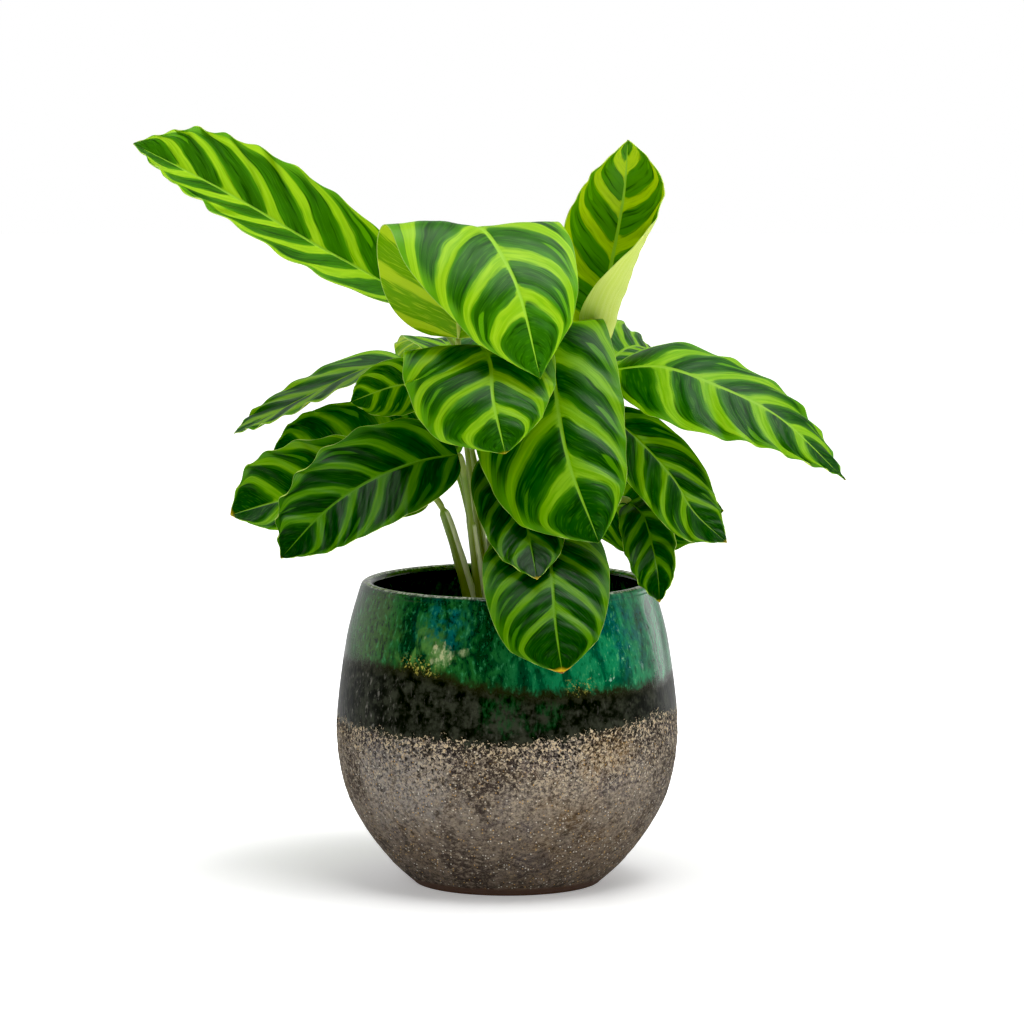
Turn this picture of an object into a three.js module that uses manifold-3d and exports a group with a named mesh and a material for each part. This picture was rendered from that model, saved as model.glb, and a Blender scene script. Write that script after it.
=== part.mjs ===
// Potted calathea: a glazed stoneware pot, its potting soil, and a clump of zebra-striped leaves.
// Millimetres, +Z up. The origin is the middle of the pot's foot; -Y is the side that faces the viewer.
import * as THREE from "three";
import { mergeVertices } from "three/addons/utils/BufferGeometryUtils.js";
import Module from "manifold-3d";

// ---------- driving dimensions ----------
const POT_HEIGHT = 187;
const POT_SIDES = 48;
const WALL_STEPS = 12; // straight lines that the wall's curve is made of
const FOOT_RADIUS = 57;
const BELLY_RADIUS = 105;
const BELLY_HEIGHT = 98;
const RIM_RADIUS = 90; // outside, at the lip
const POT_WALL = 8;
const POT_FLOOR = 10;
const SOIL_LEVEL = 150;
const SOIL_GAP = 0.5; // between soil and pot, and round each stalk
const SOIL_MOUND = 3; // how far the soil rises towards the clump
const STALK_DEPTH = 30; // how far a stalk stands in the soil
const STALK_SIDES = 6;
const STALK_ROWS = 11;
const SHEATH_RADIUS = 3.6; // a stalk's radius where it leaves the soil
const PETIOLE_RADIUS = 1.7; // and where it reaches the blade
const SHEATH_SHARE = 0.6; // the share of a stalk that its sheath wraps
const SHEATH_END_RADIUS = 2.3;
const KNEE_RADIUS = 2.1; // the swollen joint just below the blade
const KNEE_FROM = 0.88; // where the knee starts and ends, as shares of the stalk
const KNEE_TO = 0.99;
const LEAN = 0.4; // the share of its way out that a stalk takes from the start
const RISE = 0.45; // how long it keeps that line, as a share of its reach
const BEND = 0.25; // and how long it has the blade's line before it gets there
const BLADE_THICKNESS = 0.8;
const BLADE_START = 1.5; // half width of the blade where it meets the stalk
const BLADE_TIP = 0.5; // half width of the blade at its very tip
const RIB_DEPTH = 1.5; // the midrib's keel under the blade, at its base
const RIB_TAPER = 0.8; // how much of that depth is gone at the tip
const RIB_HALF = 0.05; // the midrib's half width, as a share of the half blade
const JOIN_GAP = 0.4; // between a stalk's end and its blade
const WIDEST = 0.45; // where a blade is widest, as a share of its length
const FULLNESS = 1.05; // 1 is an oval outline, less is a blunter one
const TIP_SHARE = 0.15; // the last share of a blade, where its outline runs to a point
const TIP_BLUNT = 0.4; // 1 is a point with straight sides, less is a rounder one
const SWEEP = 0.2; // how far the side veins run towards the tip, as a share of the length
const VEIN_BOW = 1.25; // how they bow on the way: 1 is not at all
const WAVE_ENDS = 0.6; // how slowly the margin's waves grow from the blade's two ends
const WAVE_OUT = 1.6; // and how near to the margin they stay
const WAVE_USUAL = 0.8; // the waves differ in height by up to WAVE_SPREAD from this share of it
const WAVE_SPREAD = 0.35;
const WAVE_PACE = 0.37; // how fast their height changes along the margin, in waves per wave
const WAVE_LAG = 2; // and how far its left and right side are out of step
const SCALLOP_POINT = 1.5; // how pointed the margin is between two scallops: 1 is round
const STEP = 0.004; // how far apart the points are that a blade's slope is measured between
const TINY = 1e-6;

const COLOURS = { glaze: 0x1c4a3c, soil: 0x2a1d14, stalk: 0x7d9a3c, blade: 0x2f7d1e };

// ---------- the leaves ----------
// root: where the stalk leaves the soil. midrib: points from the blade's base to its tip. left: the way
// to the blade's left margin, seen on its upper side with the tip ahead. half: the widest half width.
// fold: how far a half is raised at the midrib, in degrees, and curl: how far it turns on up to the
// margin. waves and wave: the number and height of the margin's waves. Two numbers in brackets are the
// left half and the right half.
// Only where a leaf differs from the others: lean, rise and bend, the stalk's own LEAN, RISE and BEND,
// with lean as x and y per unit of height; stout, how many times thicker its sheath is, and sheath, its own
// SHEATH_SHARE; widest and full, the blade's own WIDEST and FULLNESS; scallop, how far its margin draws in
// between two waves; curlBase, the curl up to the share curlFrom; cells, the edges between midrib and
// margin, plus one.
const LEAVES = [
  { name: "high_left", root: [-6, 18], lean: [-0.1, 0], rise: 0.4, bend: 0.35, half: [33.5, 37],
    widest: [0.42, 0.52], full: [0.88, 0.95], left: [-0.43, -0.66, -0.62], fold: 24, curl: 4, waves: 9,
    wave: 2.2, scallop: [0.6, 2.6],
    midrib: [[-62, 14, 360], [-82, 12, 373], [-121, 6, 395], [-172, -4, 426], [-227, -16, 456]] },
  { name: "top_middle", root: [-6, -2], lean: [-0.17, 0], bend: 0.12, half: [53, 57], widest: [0.34, 0.4],
    full: 1, left: [1, 0.04, 0], fold: [3, 8], curl: [-22, -28], waves: 7, wave: 1.1, cells: 3,
    midrib: [[-30, 4, 336], [-28, -8, 376], [-18, -36, 407], [5, -72, 376], [20, -92, 320]] },
  { name: "rolled", root: [4, 12], lean: [0.08, 0], half: [43, 53], widest: 0.36, full: [1, 0.76],
    left: [-1, -0.1, 0.1], fold: [-5, 28], curl: [40, 8], curlBase: [70, 237], waves: 8, wave: 0.8, cells: 6,
    midrib: [[56, 26, 327], [61, 25, 364], [67, 23, 395], [72, 19, 426], [74, 12, 457]] },
  { name: "middle_left", root: [1, -9], lean: [-0.08, -0.03], half: [40, 54], full: 0.9, left: [1, 0, 0.05],
    fold: 4, curl: -24, waves: 7, wave: 2, cells: 3,
    midrib: [[-25, -26, 320], [-17, -49, 336], [-10, -71, 327], [-8, -91, 306], [-1, -104, 276]] },
  { name: "middle_front", root: [6, 2], half: [40, 56], widest: 0.5, full: 0.95,
    left: [0.95, -0.1, 0.3], fold: 4, curl: [-30, -16], waves: 8, wave: 2, cells: 3,
    midrib: [[18, 12, 313], [26, -12, 343], [29, -44, 313], [37, -74, 269], [55, -98, 222]] },
  { name: "under_front", root: [-2, -20], half: [26, 28], left: [1, 0, 0],
    fold: 6, curl: -10, waves: 6, wave: 1.5,
    midrib: [[-8, -20, 269], [1, -38, 255], [9, -61, 239], [14, -82, 219], [18, -101, 200]] },
  { name: "over_rim", root: [8, -26], half: [35, 42], full: 0.85, left: [1, 0, 0],
    fold: 4, curl: -12, waves: 7, wave: 1.2, cells: 3,
    midrib: [[20, -44, 228], [25, -66, 219], [27, -91, 200], [29, -108, 174], [33, -119, 146]] },
  { name: "low_left", root: [-12, -17], stout: 1.2, lean: [-0.14, -0.1], rise: 0.7, bend: 0.03,
    half: [32, 32.5], widest: [0.42, 0.45], full: [0.95, 0.85], left: [0.42, -0.25, -0.72],
    fold: 10, curl: 4, waves: 8, wave: 1.8, scallop: [0.4, 3], cells: 3,
    midrib: [[-30, -34, 268], [-53, -44, 265], [-82, -56, 255], [-110, -68, 237], [-136, -78, 210]] },
  { name: "low_left_back", root: [-16, -6], stout: 1.45, sheath: 0.85, lean: [-0.27, 0], rise: 0.8,
    bend: 0.08, half: [24, 35], widest: [0.45, 0.55], full: 0.9, left: [0.1, -0.3, -0.95], fold: 8, curl: 4,
    waves: 7, wave: 1.8, scallop: [0.5, 2.2],
    midrib: [[-47, -10, 240], [-75, -18, 246], [-105, -26, 245], [-137, -34, 240], [-168, -42, 232]] },
  { name: "mid_left", root: [-14, 4], lean: [-0.11, 0], rise: 0.75, bend: 0.1, half: [24, 28.5],
    left: [0, -0.5, -0.85], fold: 6, curl: -4, waves: 7, wave: 1.8, scallop: [0.5, 2],
    midrib: [[-41, 8, 271], [-66, 10, 272], [-96, 12, 271], [-121, 10, 269], [-146, 8, 263]] },
  { name: "short_left", root: [-8, 9], lean: [-0.14, 0.02], rise: 0.7, bend: 0.1, half: [19, 17],
    left: [0.1, -0.2, -0.97], fold: 6, curl: 4, waves: 5, wave: 1.4,
    midrib: [[-42, 8, 308], [-55, 7, 308], [-70, 5, 306], [-83, 2, 302], [-96, -2, 297]] },
  { name: "far_left", root: [-15, 16], lean: [-0.08, 0.05], rise: 0.6, half: [26, 34], widest: [0.45, 0.42],
    full: [0.75, 1.1], left: [0, -0.97, -0.22], fold: 4, curl: 0, waves: 7, wave: 1.8, scallop: [0.5, 2],
    midrib: [[-64, 32, 319], [-84, 30, 316], [-104, 26, 308], [-135, 16, 293], [-168, 6, 277]] },
  { name: "back_left", root: [-7, 29], lean: [-0.04, 0.05], half: [24, 28], left: [-0.9, -0.45, 0],
    fold: 10, curl: -10, waves: 6, wave: 1.8,
    midrib: [[-26, 48, 304], [-34, 68, 322], [-44, 92, 328], [-52, 114, 320], [-58, 136, 300]] },
  { name: "right", root: [15, 5], half: [33, 35.5], widest: 0.34, full: [1, 1.5],
    left: [0.2, 0.7, 0.68], fold: -6, curl: [-28, -18], waves: 8, wave: 1.8, scallop: [1, 1.6], cells: 3,
    midrib: [[65, -20, 319], [94, -38, 322], [127, -54, 312], [164, -70, 294], [203, -84, 258]] },
  { name: "back_right", root: [14, 17], lean: [0.22, 0.1], half: [33, 33], left: [-0.5, 0.7, 0.4],
    fold: 8, curl: -8, waves: 6, wave: 1.8,
    midrib: [[60, 36, 310], [68, 52, 321], [79, 72, 325], [91, 93, 320], [101, 112, 308]] },
  { name: "mid_right", root: [14, -6], half: [20, 23], left: [0.66, 0.2, 0.66],
    fold: 2, curl: -8, waves: 7, wave: 2,
    midrib: [[60, -30, 294], [81, -46, 277], [100, -60, 257], [113, -72, 237], [132, -82, 220]] },
  { name: "low_right", root: [19, -17], half: [19, 18], full: 0.9, left: [0.9, -0.45, 0.2],
    fold: 14, curl: 6, waves: 6, wave: 1.6, scallop: 1,
    midrib: [[75, -26, 238], [83, -42, 231], [88, -56, 215], [91, -68, 200], [92, -76, 183]] },
  { name: "low_right_back", root: [25, -4], half: [24, 32], left: [0, 0.3, 0.95],
    fold: 6, curl: 6, waves: 6, wave: 1.6,
    midrib: [[45, 2, 230], [65, 8, 232], [89, 8, 232], [111, 4, 231], [133, -2, 230]] },
  { name: "rear_middle", root: [5, 24], half: [36, 36], left: [-1, 0, 0],
    fold: 6, curl: -14, waves: 7, wave: 2,
    midrib: [[4, 44, 280], [6, 68, 296], [8, 100, 294], [12, 128, 274], [14, 148, 244]] },
  { name: "rear_low", root: [16, 28], half: [30, 30], left: [-1, 0, 0],
    fold: 6, curl: -12, waves: 6, wave: 1.8,
    midrib: [[16, 48, 230], [20, 70, 240], [23, 94, 233], [25, 114, 214], [26, 130, 190]] },
  { name: "rear_left", root: [-17, 27], lean: [-0.04, 0.05], rise: 0.7, bend: 0.1,
    half: [34, 34], left: [-0.8, -0.6, 0],
    fold: 6, curl: -12, waves: 6, wave: 1.8,
    midrib: [[-38, 46, 258], [-56, 68, 266], [-76, 90, 258], [-92, 108, 240], [-104, 122, 218]] },
];

// ---------- helpers ----------
const wasm = await Module();
wasm.setup();

// A closed geometry as a solid that can be cut.
function solidOf(geometry) {
  const bare = geometry.clone();
  bare.deleteAttribute("normal");
  bare.deleteAttribute("uv");
  const merged = mergeVertices(bare, 1e-4);
  const vertProperties = new Float32Array(merged.attributes.position.array);
  const triVerts = new Uint32Array(merged.index.array);
  return new wasm.Manifold(new wasm.Mesh({ numProp: 3, vertProperties, triVerts }));
}

// A cut solid back as a geometry.
function geometryOf(solid) {
  const mesh = solid.getMesh();
  const geometry = new THREE.BufferGeometry();
  geometry.setAttribute("position", new THREE.BufferAttribute(new Float32Array(mesh.vertProperties), 3));
  geometry.setIndex(new THREE.BufferAttribute(new Uint32Array(mesh.triVerts), 1));
  geometry.computeVertexNormals();
  return geometry;
}

function named(name, geometry, colour, roughness) {
  const material = new THREE.MeshStandardMaterial({ color: colour, roughness, metalness: 0 });
  const mesh = new THREE.Mesh(geometry, material);
  mesh.name = name;
  return mesh;
}

// One closed skin over rings of points, all with the same count and turning the same way. Both ends are
// closed by the triangles in cap. leansBack says, for the cell after point k of a ring, which of its two
// diagonals splits it.
function skinOver(rings, cap, leansBack = () => false) {
  const count = rings[0].length;
  const faces = [];
  for (let row = 0; row + 1 < rings.length; row++) {
    for (let k = 0; k < count; k++) {
      const a = row * count + k;
      const b = row * count + ((k + 1) % count);
      const [c, d] = [b + count, a + count];
      if (leansBack(k)) faces.push(a, b, d, b, c, d);
      else faces.push(a, b, c, a, c, d);
    }
  }
  const last = (rings.length - 1) * count;
  for (const [i, j, k] of cap) faces.push(k, j, i, last + i, last + j, last + k);
  const geometry = new THREE.BufferGeometry();
  const positions = rings.flat().flatMap((p) => [p.x, p.y, p.z]);
  geometry.setAttribute("position", new THREE.Float32BufferAttribute(positions, 3));
  geometry.setIndex(faces);
  geometry.computeVertexNormals();
  return geometry;
}

// A body turned round the Z axis from a closed outline of [radius, height] points.
function turned(outline, sides) {
  const points = outline.map(([radius, height]) => new THREE.Vector2(radius, height));
  return new THREE.LatheGeometry(points, sides).rotateX(Math.PI / 2);
}

const mix = (a, b, share) => a + (b - a) * share;
const vector = ([x, y, z]) => new THREE.Vector3(x, y, z);
const pair = (value) => (Array.isArray(value) ? value : [value, value]);
const midribOf = (leaf) => new THREE.CatmullRomCurve3(leaf.midrib.map(vector), false, "catmullrom", 0.5);

// ---------- pot and soil ----------
const outerWall = new THREE.SplineCurve([
  new THREE.Vector2(FOOT_RADIUS, 0),
  new THREE.Vector2(FOOT_RADIUS + 16, 15),
  new THREE.Vector2(BELLY_RADIUS - 15, 38),
  new THREE.Vector2(BELLY_RADIUS - 4, 63),
  new THREE.Vector2(BELLY_RADIUS, BELLY_HEIGHT),
  new THREE.Vector2(BELLY_RADIUS - 6, 150),
  new THREE.Vector2(RIM_RADIUS, POT_HEIGHT - 3),
]);
const wall = (inset) => outerWall.getPoints(WALL_STEPS).map((p) => [p.x - inset, p.y]);

// The wall's radius at a height, less an inset, on the straight lines between its points.
function wallRadius(height, inset) {
  const points = wall(inset);
  const above = points.findIndex((p) => p[1] >= height);
  const [low, high] = [points[above - 1], points[above]];
  return mix(low[0], high[0], (height - low[1]) / (high[1] - low[1]));
}

function potGeometry() {
  const lip = [[RIM_RADIUS - 2, POT_HEIGHT], [RIM_RADIUS - POT_WALL + 2, POT_HEIGHT]];
  const inside = wall(POT_WALL).reverse().filter(([, height]) => height > POT_FLOOR);
  const floor = [[wallRadius(POT_FLOOR, POT_WALL), POT_FLOOR], [0, POT_FLOOR]];
  return turned([[0, 0], ...wall(0), ...lip, ...inside, ...floor], POT_SIDES);
}

// The soil fills the pot to SOIL_LEVEL and rises a little towards the clump.
function soilGeometry() {
  const inset = POT_WALL + SOIL_GAP;
  const bottom = POT_FLOOR + SOIL_GAP;
  const side = wall(inset).filter(([, height]) => height > bottom && height < SOIL_LEVEL);
  const edge = wallRadius(SOIL_LEVEL, inset);
  const top = [1, 0.8, 0.6, 0.4, 0.2, 0].map((share) => [
    edge * share,
    SOIL_LEVEL + SOIL_MOUND * Math.cos((share * Math.PI) / 2) ** 2,
  ]);
  const outline = [[0, bottom], [wallRadius(bottom, inset), bottom], ...side, ...top];
  return turned(outline, POT_SIDES);
}

// ---------- one leaf ----------
// The blade's middle surface. q runs from base to tip along the side veins, and v from -1 at the right
// margin through 0 at the midrib to 1 at the left one. u is the share of the midrib that is level with
// a point.
function bladeSurface(leaf) {
  const midrib = midribOf(leaf);
  const left = vector(leaf.left);
  const { widest = WIDEST, full = FULLNESS, scallop = 0, curlBase = leaf.curl, curlFrom = 0 } = leaf;

  // An outline like an egg's, with a point at the tip and a little width left where the stalk joins.
  const halfWidth = (u, side) => {
    const peak = pair(widest)[side];
    const rise = Math.max(u, TINY) / peak;
    const fall = Math.max(1 - u, TINY) / (1 - peak);
    const point = Math.min((1 - u) / TIP_SHARE, 1) ** TIP_BLUNT;
    const share = point * (rise ** peak * fall ** (1 - peak)) ** pair(full)[side];
    return Math.max(pair(leaf.half)[side] * share, mix(BLADE_START, BLADE_TIP, u));
  };

  // Across the blade each half is part of a circle: it sets out at the angle start and turns on by turn.
  return (q, v) => {
    const out = Math.abs(v);
    const side = v < 0 ? 1 : 0; // 0 is the left half, 1 the right half
    const sign = v < 0 ? -1 : 1;
    const u = THREE.MathUtils.clamp(q + SWEEP * Math.sin(Math.PI * q) * out ** VEIN_BOW, 0, 1);
    const along = midrib.getTangentAt(u);
    const across = left.clone().projectOnPlane(along).normalize();
    const up = along.clone().cross(across);
    const grown = Math.sin(Math.PI * q) ** WAVE_ENDS * out ** WAVE_OUT;
    const beat = 2 * Math.PI * leaf.waves * q;
    const drawnIn = 1 - ((1 + Math.cos(beat)) / 2) ** SCALLOP_POINT;
    const half = halfWidth(u, side) - pair(scallop)[side] * grown * drawnIn;
    const opened = Math.max(u - curlFrom, 0) / (1 - curlFrom);
    const start = THREE.MathUtils.degToRad(pair(leaf.fold)[side]);
    const curl = mix(pair(curlBase)[side], pair(leaf.curl)[side], opened);
    const turn = THREE.MathUtils.degToRad(curl) || TINY;
    const slope = start + turn * out;
    const pace = beat * WAVE_PACE + sign * WAVE_LAG + leaf.midrib[0][0];
    const height = leaf.wave * (WAVE_USUAL + WAVE_SPREAD * Math.sin(pace));
    const wave = sign * height * grown * Math.cos(beat);
    const reach = (half * (Math.sin(slope) - Math.sin(start))) / turn - wave * Math.sin(slope);
    const lift = (half * (Math.cos(start) - Math.cos(slope))) / turn + wave * Math.cos(slope);
    return midrib.getPointAt(u).addScaledVector(across, sign * reach).addScaledVector(up, lift);
  };
}

// The blade: its surface thickened both ways, with the midrib's keel below. Each ring of points runs over
// the upper side from left to right and back along the lower side, and there is a ring at the top and at
// the bottom of every wave.
function bladeGeometry(leaf) {
  const surface = bladeSurface(leaf);
  const cells = leaf.cells ?? 2;
  const half = Array.from({ length: cells }, (_, k) => mix(RIB_HALF, 1, k / (cells - 1)));
  const columns = [...half].reverse().concat(half.map((v) => -v));
  const rows = 2 * leaf.waves;
  const rings = [];
  for (let row = 0; row <= rows; row++) {
    const q = row / rows;
    const upper = [];
    const lower = [];
    for (const v of columns) {
      const ahead = surface(Math.min(q + STEP, 1), v).sub(surface(Math.max(q - STEP, 0), v));
      const leftwards = surface(q, v + STEP).sub(surface(q, v - STEP));
      const normal = ahead.cross(leftwards).normalize();
      const keel = Math.abs(v) <= RIB_HALF ? RIB_DEPTH * (1 - RIB_TAPER * q) : 0;
      const middle = surface(q, v);
      upper.push(middle.clone().addScaledVector(normal, BLADE_THICKNESS / 2));
      lower.push(middle.clone().addScaledVector(normal, -BLADE_THICKNESS / 2 - keel));
    }
    rings.push([...upper, ...lower.reverse()]);
  }
  const count = columns.length;
  const cap = [];
  for (let k = 0; k + 1 < count; k++) {
    const below = 2 * count - 1 - k;
    cap.push([k, k + 1, below - 1], [k, below - 1, below]);
  }
  // Every cell is split from its outer, rear corner to its inner, front one, alike on both sides.
  const leansBack = (k) => (k < count ? k >= cells : k >= 3 * cells - 1);
  return skinOver(rings, cap, leansBack);
}

// A stalk's line above the soil: it leans out of the clump and then bends into the blade's own line.
function stalkLine(leaf) {
  const intoBlade = midribOf(leaf).getTangentAt(0);
  const end = vector(leaf.midrib[0]).addScaledVector(intoBlade, -JOIN_GAP);
  const ground = new THREE.Vector3(leaf.root[0], leaf.root[1], SOIL_LEVEL + SOIL_MOUND);
  const reach = end.distanceTo(ground);
  const straight = end.clone().sub(ground).divideScalar(reach);
  const { lean = [straight.x * LEAN, straight.y * LEAN], rise = RISE, bend = BEND } = leaf;
  const outwards = new THREE.Vector3(...lean, 1).normalize();
  const afterRise = ground.clone().addScaledVector(outwards, reach * rise);
  const beforeBlade = end.clone().addScaledVector(intoBlade, -reach * bend);
  return new THREE.CubicBezierCurve3(ground, afterRise, beforeBlade, end);
}

// The stalk tapers up to where its sheath ends, is even above it, and swells once more at the knee.
function stalkRadius(share, { stout = 1, sheath = SHEATH_SHARE }) {
  const wrapped = share / sheath;
  if (wrapped < 1) return stout * mix(SHEATH_RADIUS, SHEATH_END_RADIUS, wrapped);
  return share > KNEE_FROM && share < KNEE_TO ? KNEE_RADIUS : PETIOLE_RADIUS;
}

function stalkGeometry(leaf) {
  const curve = stalkLine(leaf);
  const ring = (centre, along, radius) => {
    const x = new THREE.Vector3(1, 0, 0).projectOnPlane(along).normalize();
    const y = along.clone().cross(x);
    return Array.from({ length: STALK_SIDES }, (_, k) => {
      const angle = (2 * Math.PI * k) / STALK_SIDES;
      const side = x.clone().multiplyScalar(Math.cos(angle)).addScaledVector(y, Math.sin(angle));
      return centre.clone().addScaledVector(side, radius);
    });
  };
  const upright = new THREE.Vector3(0, 0, 1);
  const foot = curve.v0.clone().addScaledVector(upright, -STALK_DEPTH);
  const rings = [ring(foot, upright, stalkRadius(0, leaf))];
  for (let row = 0; row <= STALK_ROWS; row++) {
    const share = row / STALK_ROWS;
    rings.push(ring(curve.getPoint(share), curve.getTangent(share), stalkRadius(share, leaf)));
  }
  const cap = Array.from({ length: STALK_SIDES - 2 }, (_, k) => [0, k + 1, k + 2]);
  return skinOver(rings, cap);
}

// The plain upright hole that a stalk stands in. Its sides are parallel to the stalk's.
function stalkHole({ root: [x, y], stout = 1 }) {
  const radius = stout * SHEATH_RADIUS + SOIL_GAP;
  const above = SOIL_MOUND; // the hole is cut from clear above the soil
  const length = STALK_DEPTH + SOIL_GAP + above;
  const hole = new THREE.CylinderGeometry(radius, radius, length, STALK_SIDES, 1, false, Math.PI / 2);
  hole.rotateX(Math.PI / 2);
  return solidOf(hole.translate(x, y, SOIL_LEVEL + SOIL_MOUND + above - length / 2));
}

// ---------- the whole plant ----------
const plant = new THREE.Group();
plant.add(named("pot", potGeometry(), COLOURS.glaze, 0.3));

const holes = LEAVES.map(stalkHole);
const soil = holes.reduce((left, hole) => left.subtract(hole), solidOf(soilGeometry()));
plant.add(named("soil", geometryOf(soil), COLOURS.soil, 1));

for (const leaf of LEAVES) {
  plant.add(named(`stalk_${leaf.name}`, stalkGeometry(leaf), COLOURS.stalk, 0.5));
  plant.add(named(`blade_${leaf.name}`, bladeGeometry(leaf), COLOURS.blade, 0.4));
}

export default plant;
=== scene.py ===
# %% [markdown]
# # A potted zebra plant
# This lesson dresses a plain faceted model of a calathea in its pot: a round stoneware pot, potting soil,
# and a clump of leaves with dark and light stripes. The plain model fixes where every piece is and how
# large it is. Here each piece gets a finer mesh of the same form, and a material that is painted with
# nodes, so nothing is read from a picture.
#
# Everything is in metres, Z is up, and the camera looks along +Y.

# %% Load the plain model
import math

import bpy
import numpy as np
from mathutils import Matrix, Vector, noise


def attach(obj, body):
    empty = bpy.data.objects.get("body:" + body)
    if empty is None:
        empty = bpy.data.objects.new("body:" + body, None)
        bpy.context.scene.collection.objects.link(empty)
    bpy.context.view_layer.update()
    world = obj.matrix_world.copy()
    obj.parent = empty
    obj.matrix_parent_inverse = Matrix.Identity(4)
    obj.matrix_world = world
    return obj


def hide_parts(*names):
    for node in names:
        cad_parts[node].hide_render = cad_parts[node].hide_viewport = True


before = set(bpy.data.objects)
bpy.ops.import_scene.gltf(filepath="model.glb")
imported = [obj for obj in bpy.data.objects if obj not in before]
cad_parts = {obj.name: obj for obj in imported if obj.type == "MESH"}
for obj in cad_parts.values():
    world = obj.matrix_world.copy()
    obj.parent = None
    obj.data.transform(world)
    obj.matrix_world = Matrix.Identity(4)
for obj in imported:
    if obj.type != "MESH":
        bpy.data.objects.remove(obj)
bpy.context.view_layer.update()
MM = 0.001

# %% [markdown]
# ## The camera
# The photograph was taken from a little above the pot's rim and from far away: the rim is a flat ellipse
# and nothing is foreshortened. A long lens at three and a half metres gives that. Its tilt comes from the
# ellipse's height over its width, and the distance only has to be large beside the plant.

# %% Set up the camera
CAMERA_DISTANCE = 3.5
CAMERA_TILT = math.radians(6.6)
CAMERA_AIM = Vector((3 * MM, 0, 229 * MM))
VIEW_WIDTH = 629.5 * MM  # what the picture spans at the plant

camera_data = bpy.data.cameras.new("camera")
camera_data.lens = camera_data.sensor_width * CAMERA_DISTANCE / VIEW_WIDTH
camera = bpy.data.objects.new("camera", camera_data)
bpy.context.scene.collection.objects.link(camera)
towards_camera = Vector((0, -math.cos(CAMERA_TILT), math.sin(CAMERA_TILT)))
camera.location = CAMERA_AIM + CAMERA_DISTANCE * towards_camera
camera.rotation_euler = (math.pi / 2 - CAMERA_TILT, 0, 0)
bpy.context.scene.camera = camera
print("lens:", round(camera_data.lens, 1), "mm")

# %% [markdown]
# ## Painting with nodes
# Every pattern below is a sum of a few numbers: how far along the leaf a point is, how far from the
# midrib, a little noise. In Blender each step of such a sum is a node. This small helper writes them: a
# `Value` is a node's output, and adding or multiplying two of them makes the next node, so a pattern
# reads like a formula. The nodes could be laid by hand in the shader editor, but a leaf needs over a
# hundred of them.

# %% A number made by nodes
def step(operation):
    """A method that makes one Math node of this operation."""
    return lambda self, other=0.0: self.paint.sum(operation, self, other)


class Value:
    """A node's output. Sums with it make further nodes of the same paint."""

    def __init__(self, paint, socket):
        self.paint = paint
        self.socket = socket

    __add__ = __radd__ = step("ADD")
    __sub__ = step("SUBTRACT")
    __mul__ = __rmul__ = step("MULTIPLY")
    __pow__ = step("POWER")
    size = step("ABSOLUTE")
    rest = step("FRACT")  # what is left over a whole number
    whole = step("FLOOR")
    at_least = step("MAXIMUM")

    def __rsub__(self, other):
        return self.paint.sum("SUBTRACT", other, self)

    def fade(self, start, end, low=0.0, high=1.0):
        """low up to start, high from end on, and a soft passage between. start may be above end."""
        if start > end:
            start, end, low, high = end, start, high, low
        node = self.paint.node("ShaderNodeMapRange", interpolation_type="SMOOTHSTEP")
        for name, value in (("Value", self), ("From Min", start), ("From Max", end),
                            ("To Min", low), ("To Max", high)):
            self.paint.plug(node.inputs[name], value)
        return Value(self.paint, node.outputs["Result"])


# %% [markdown]
# ## A paint
# A `Paint` is one material with its shader, the skin. Its methods make the nodes that feed it: places on
# the piece, noise, grains, and coats of colour laid over each other as a painter would. Colours are given
# as a screen shows them and turned into light, because shaders reckon in light.

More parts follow.
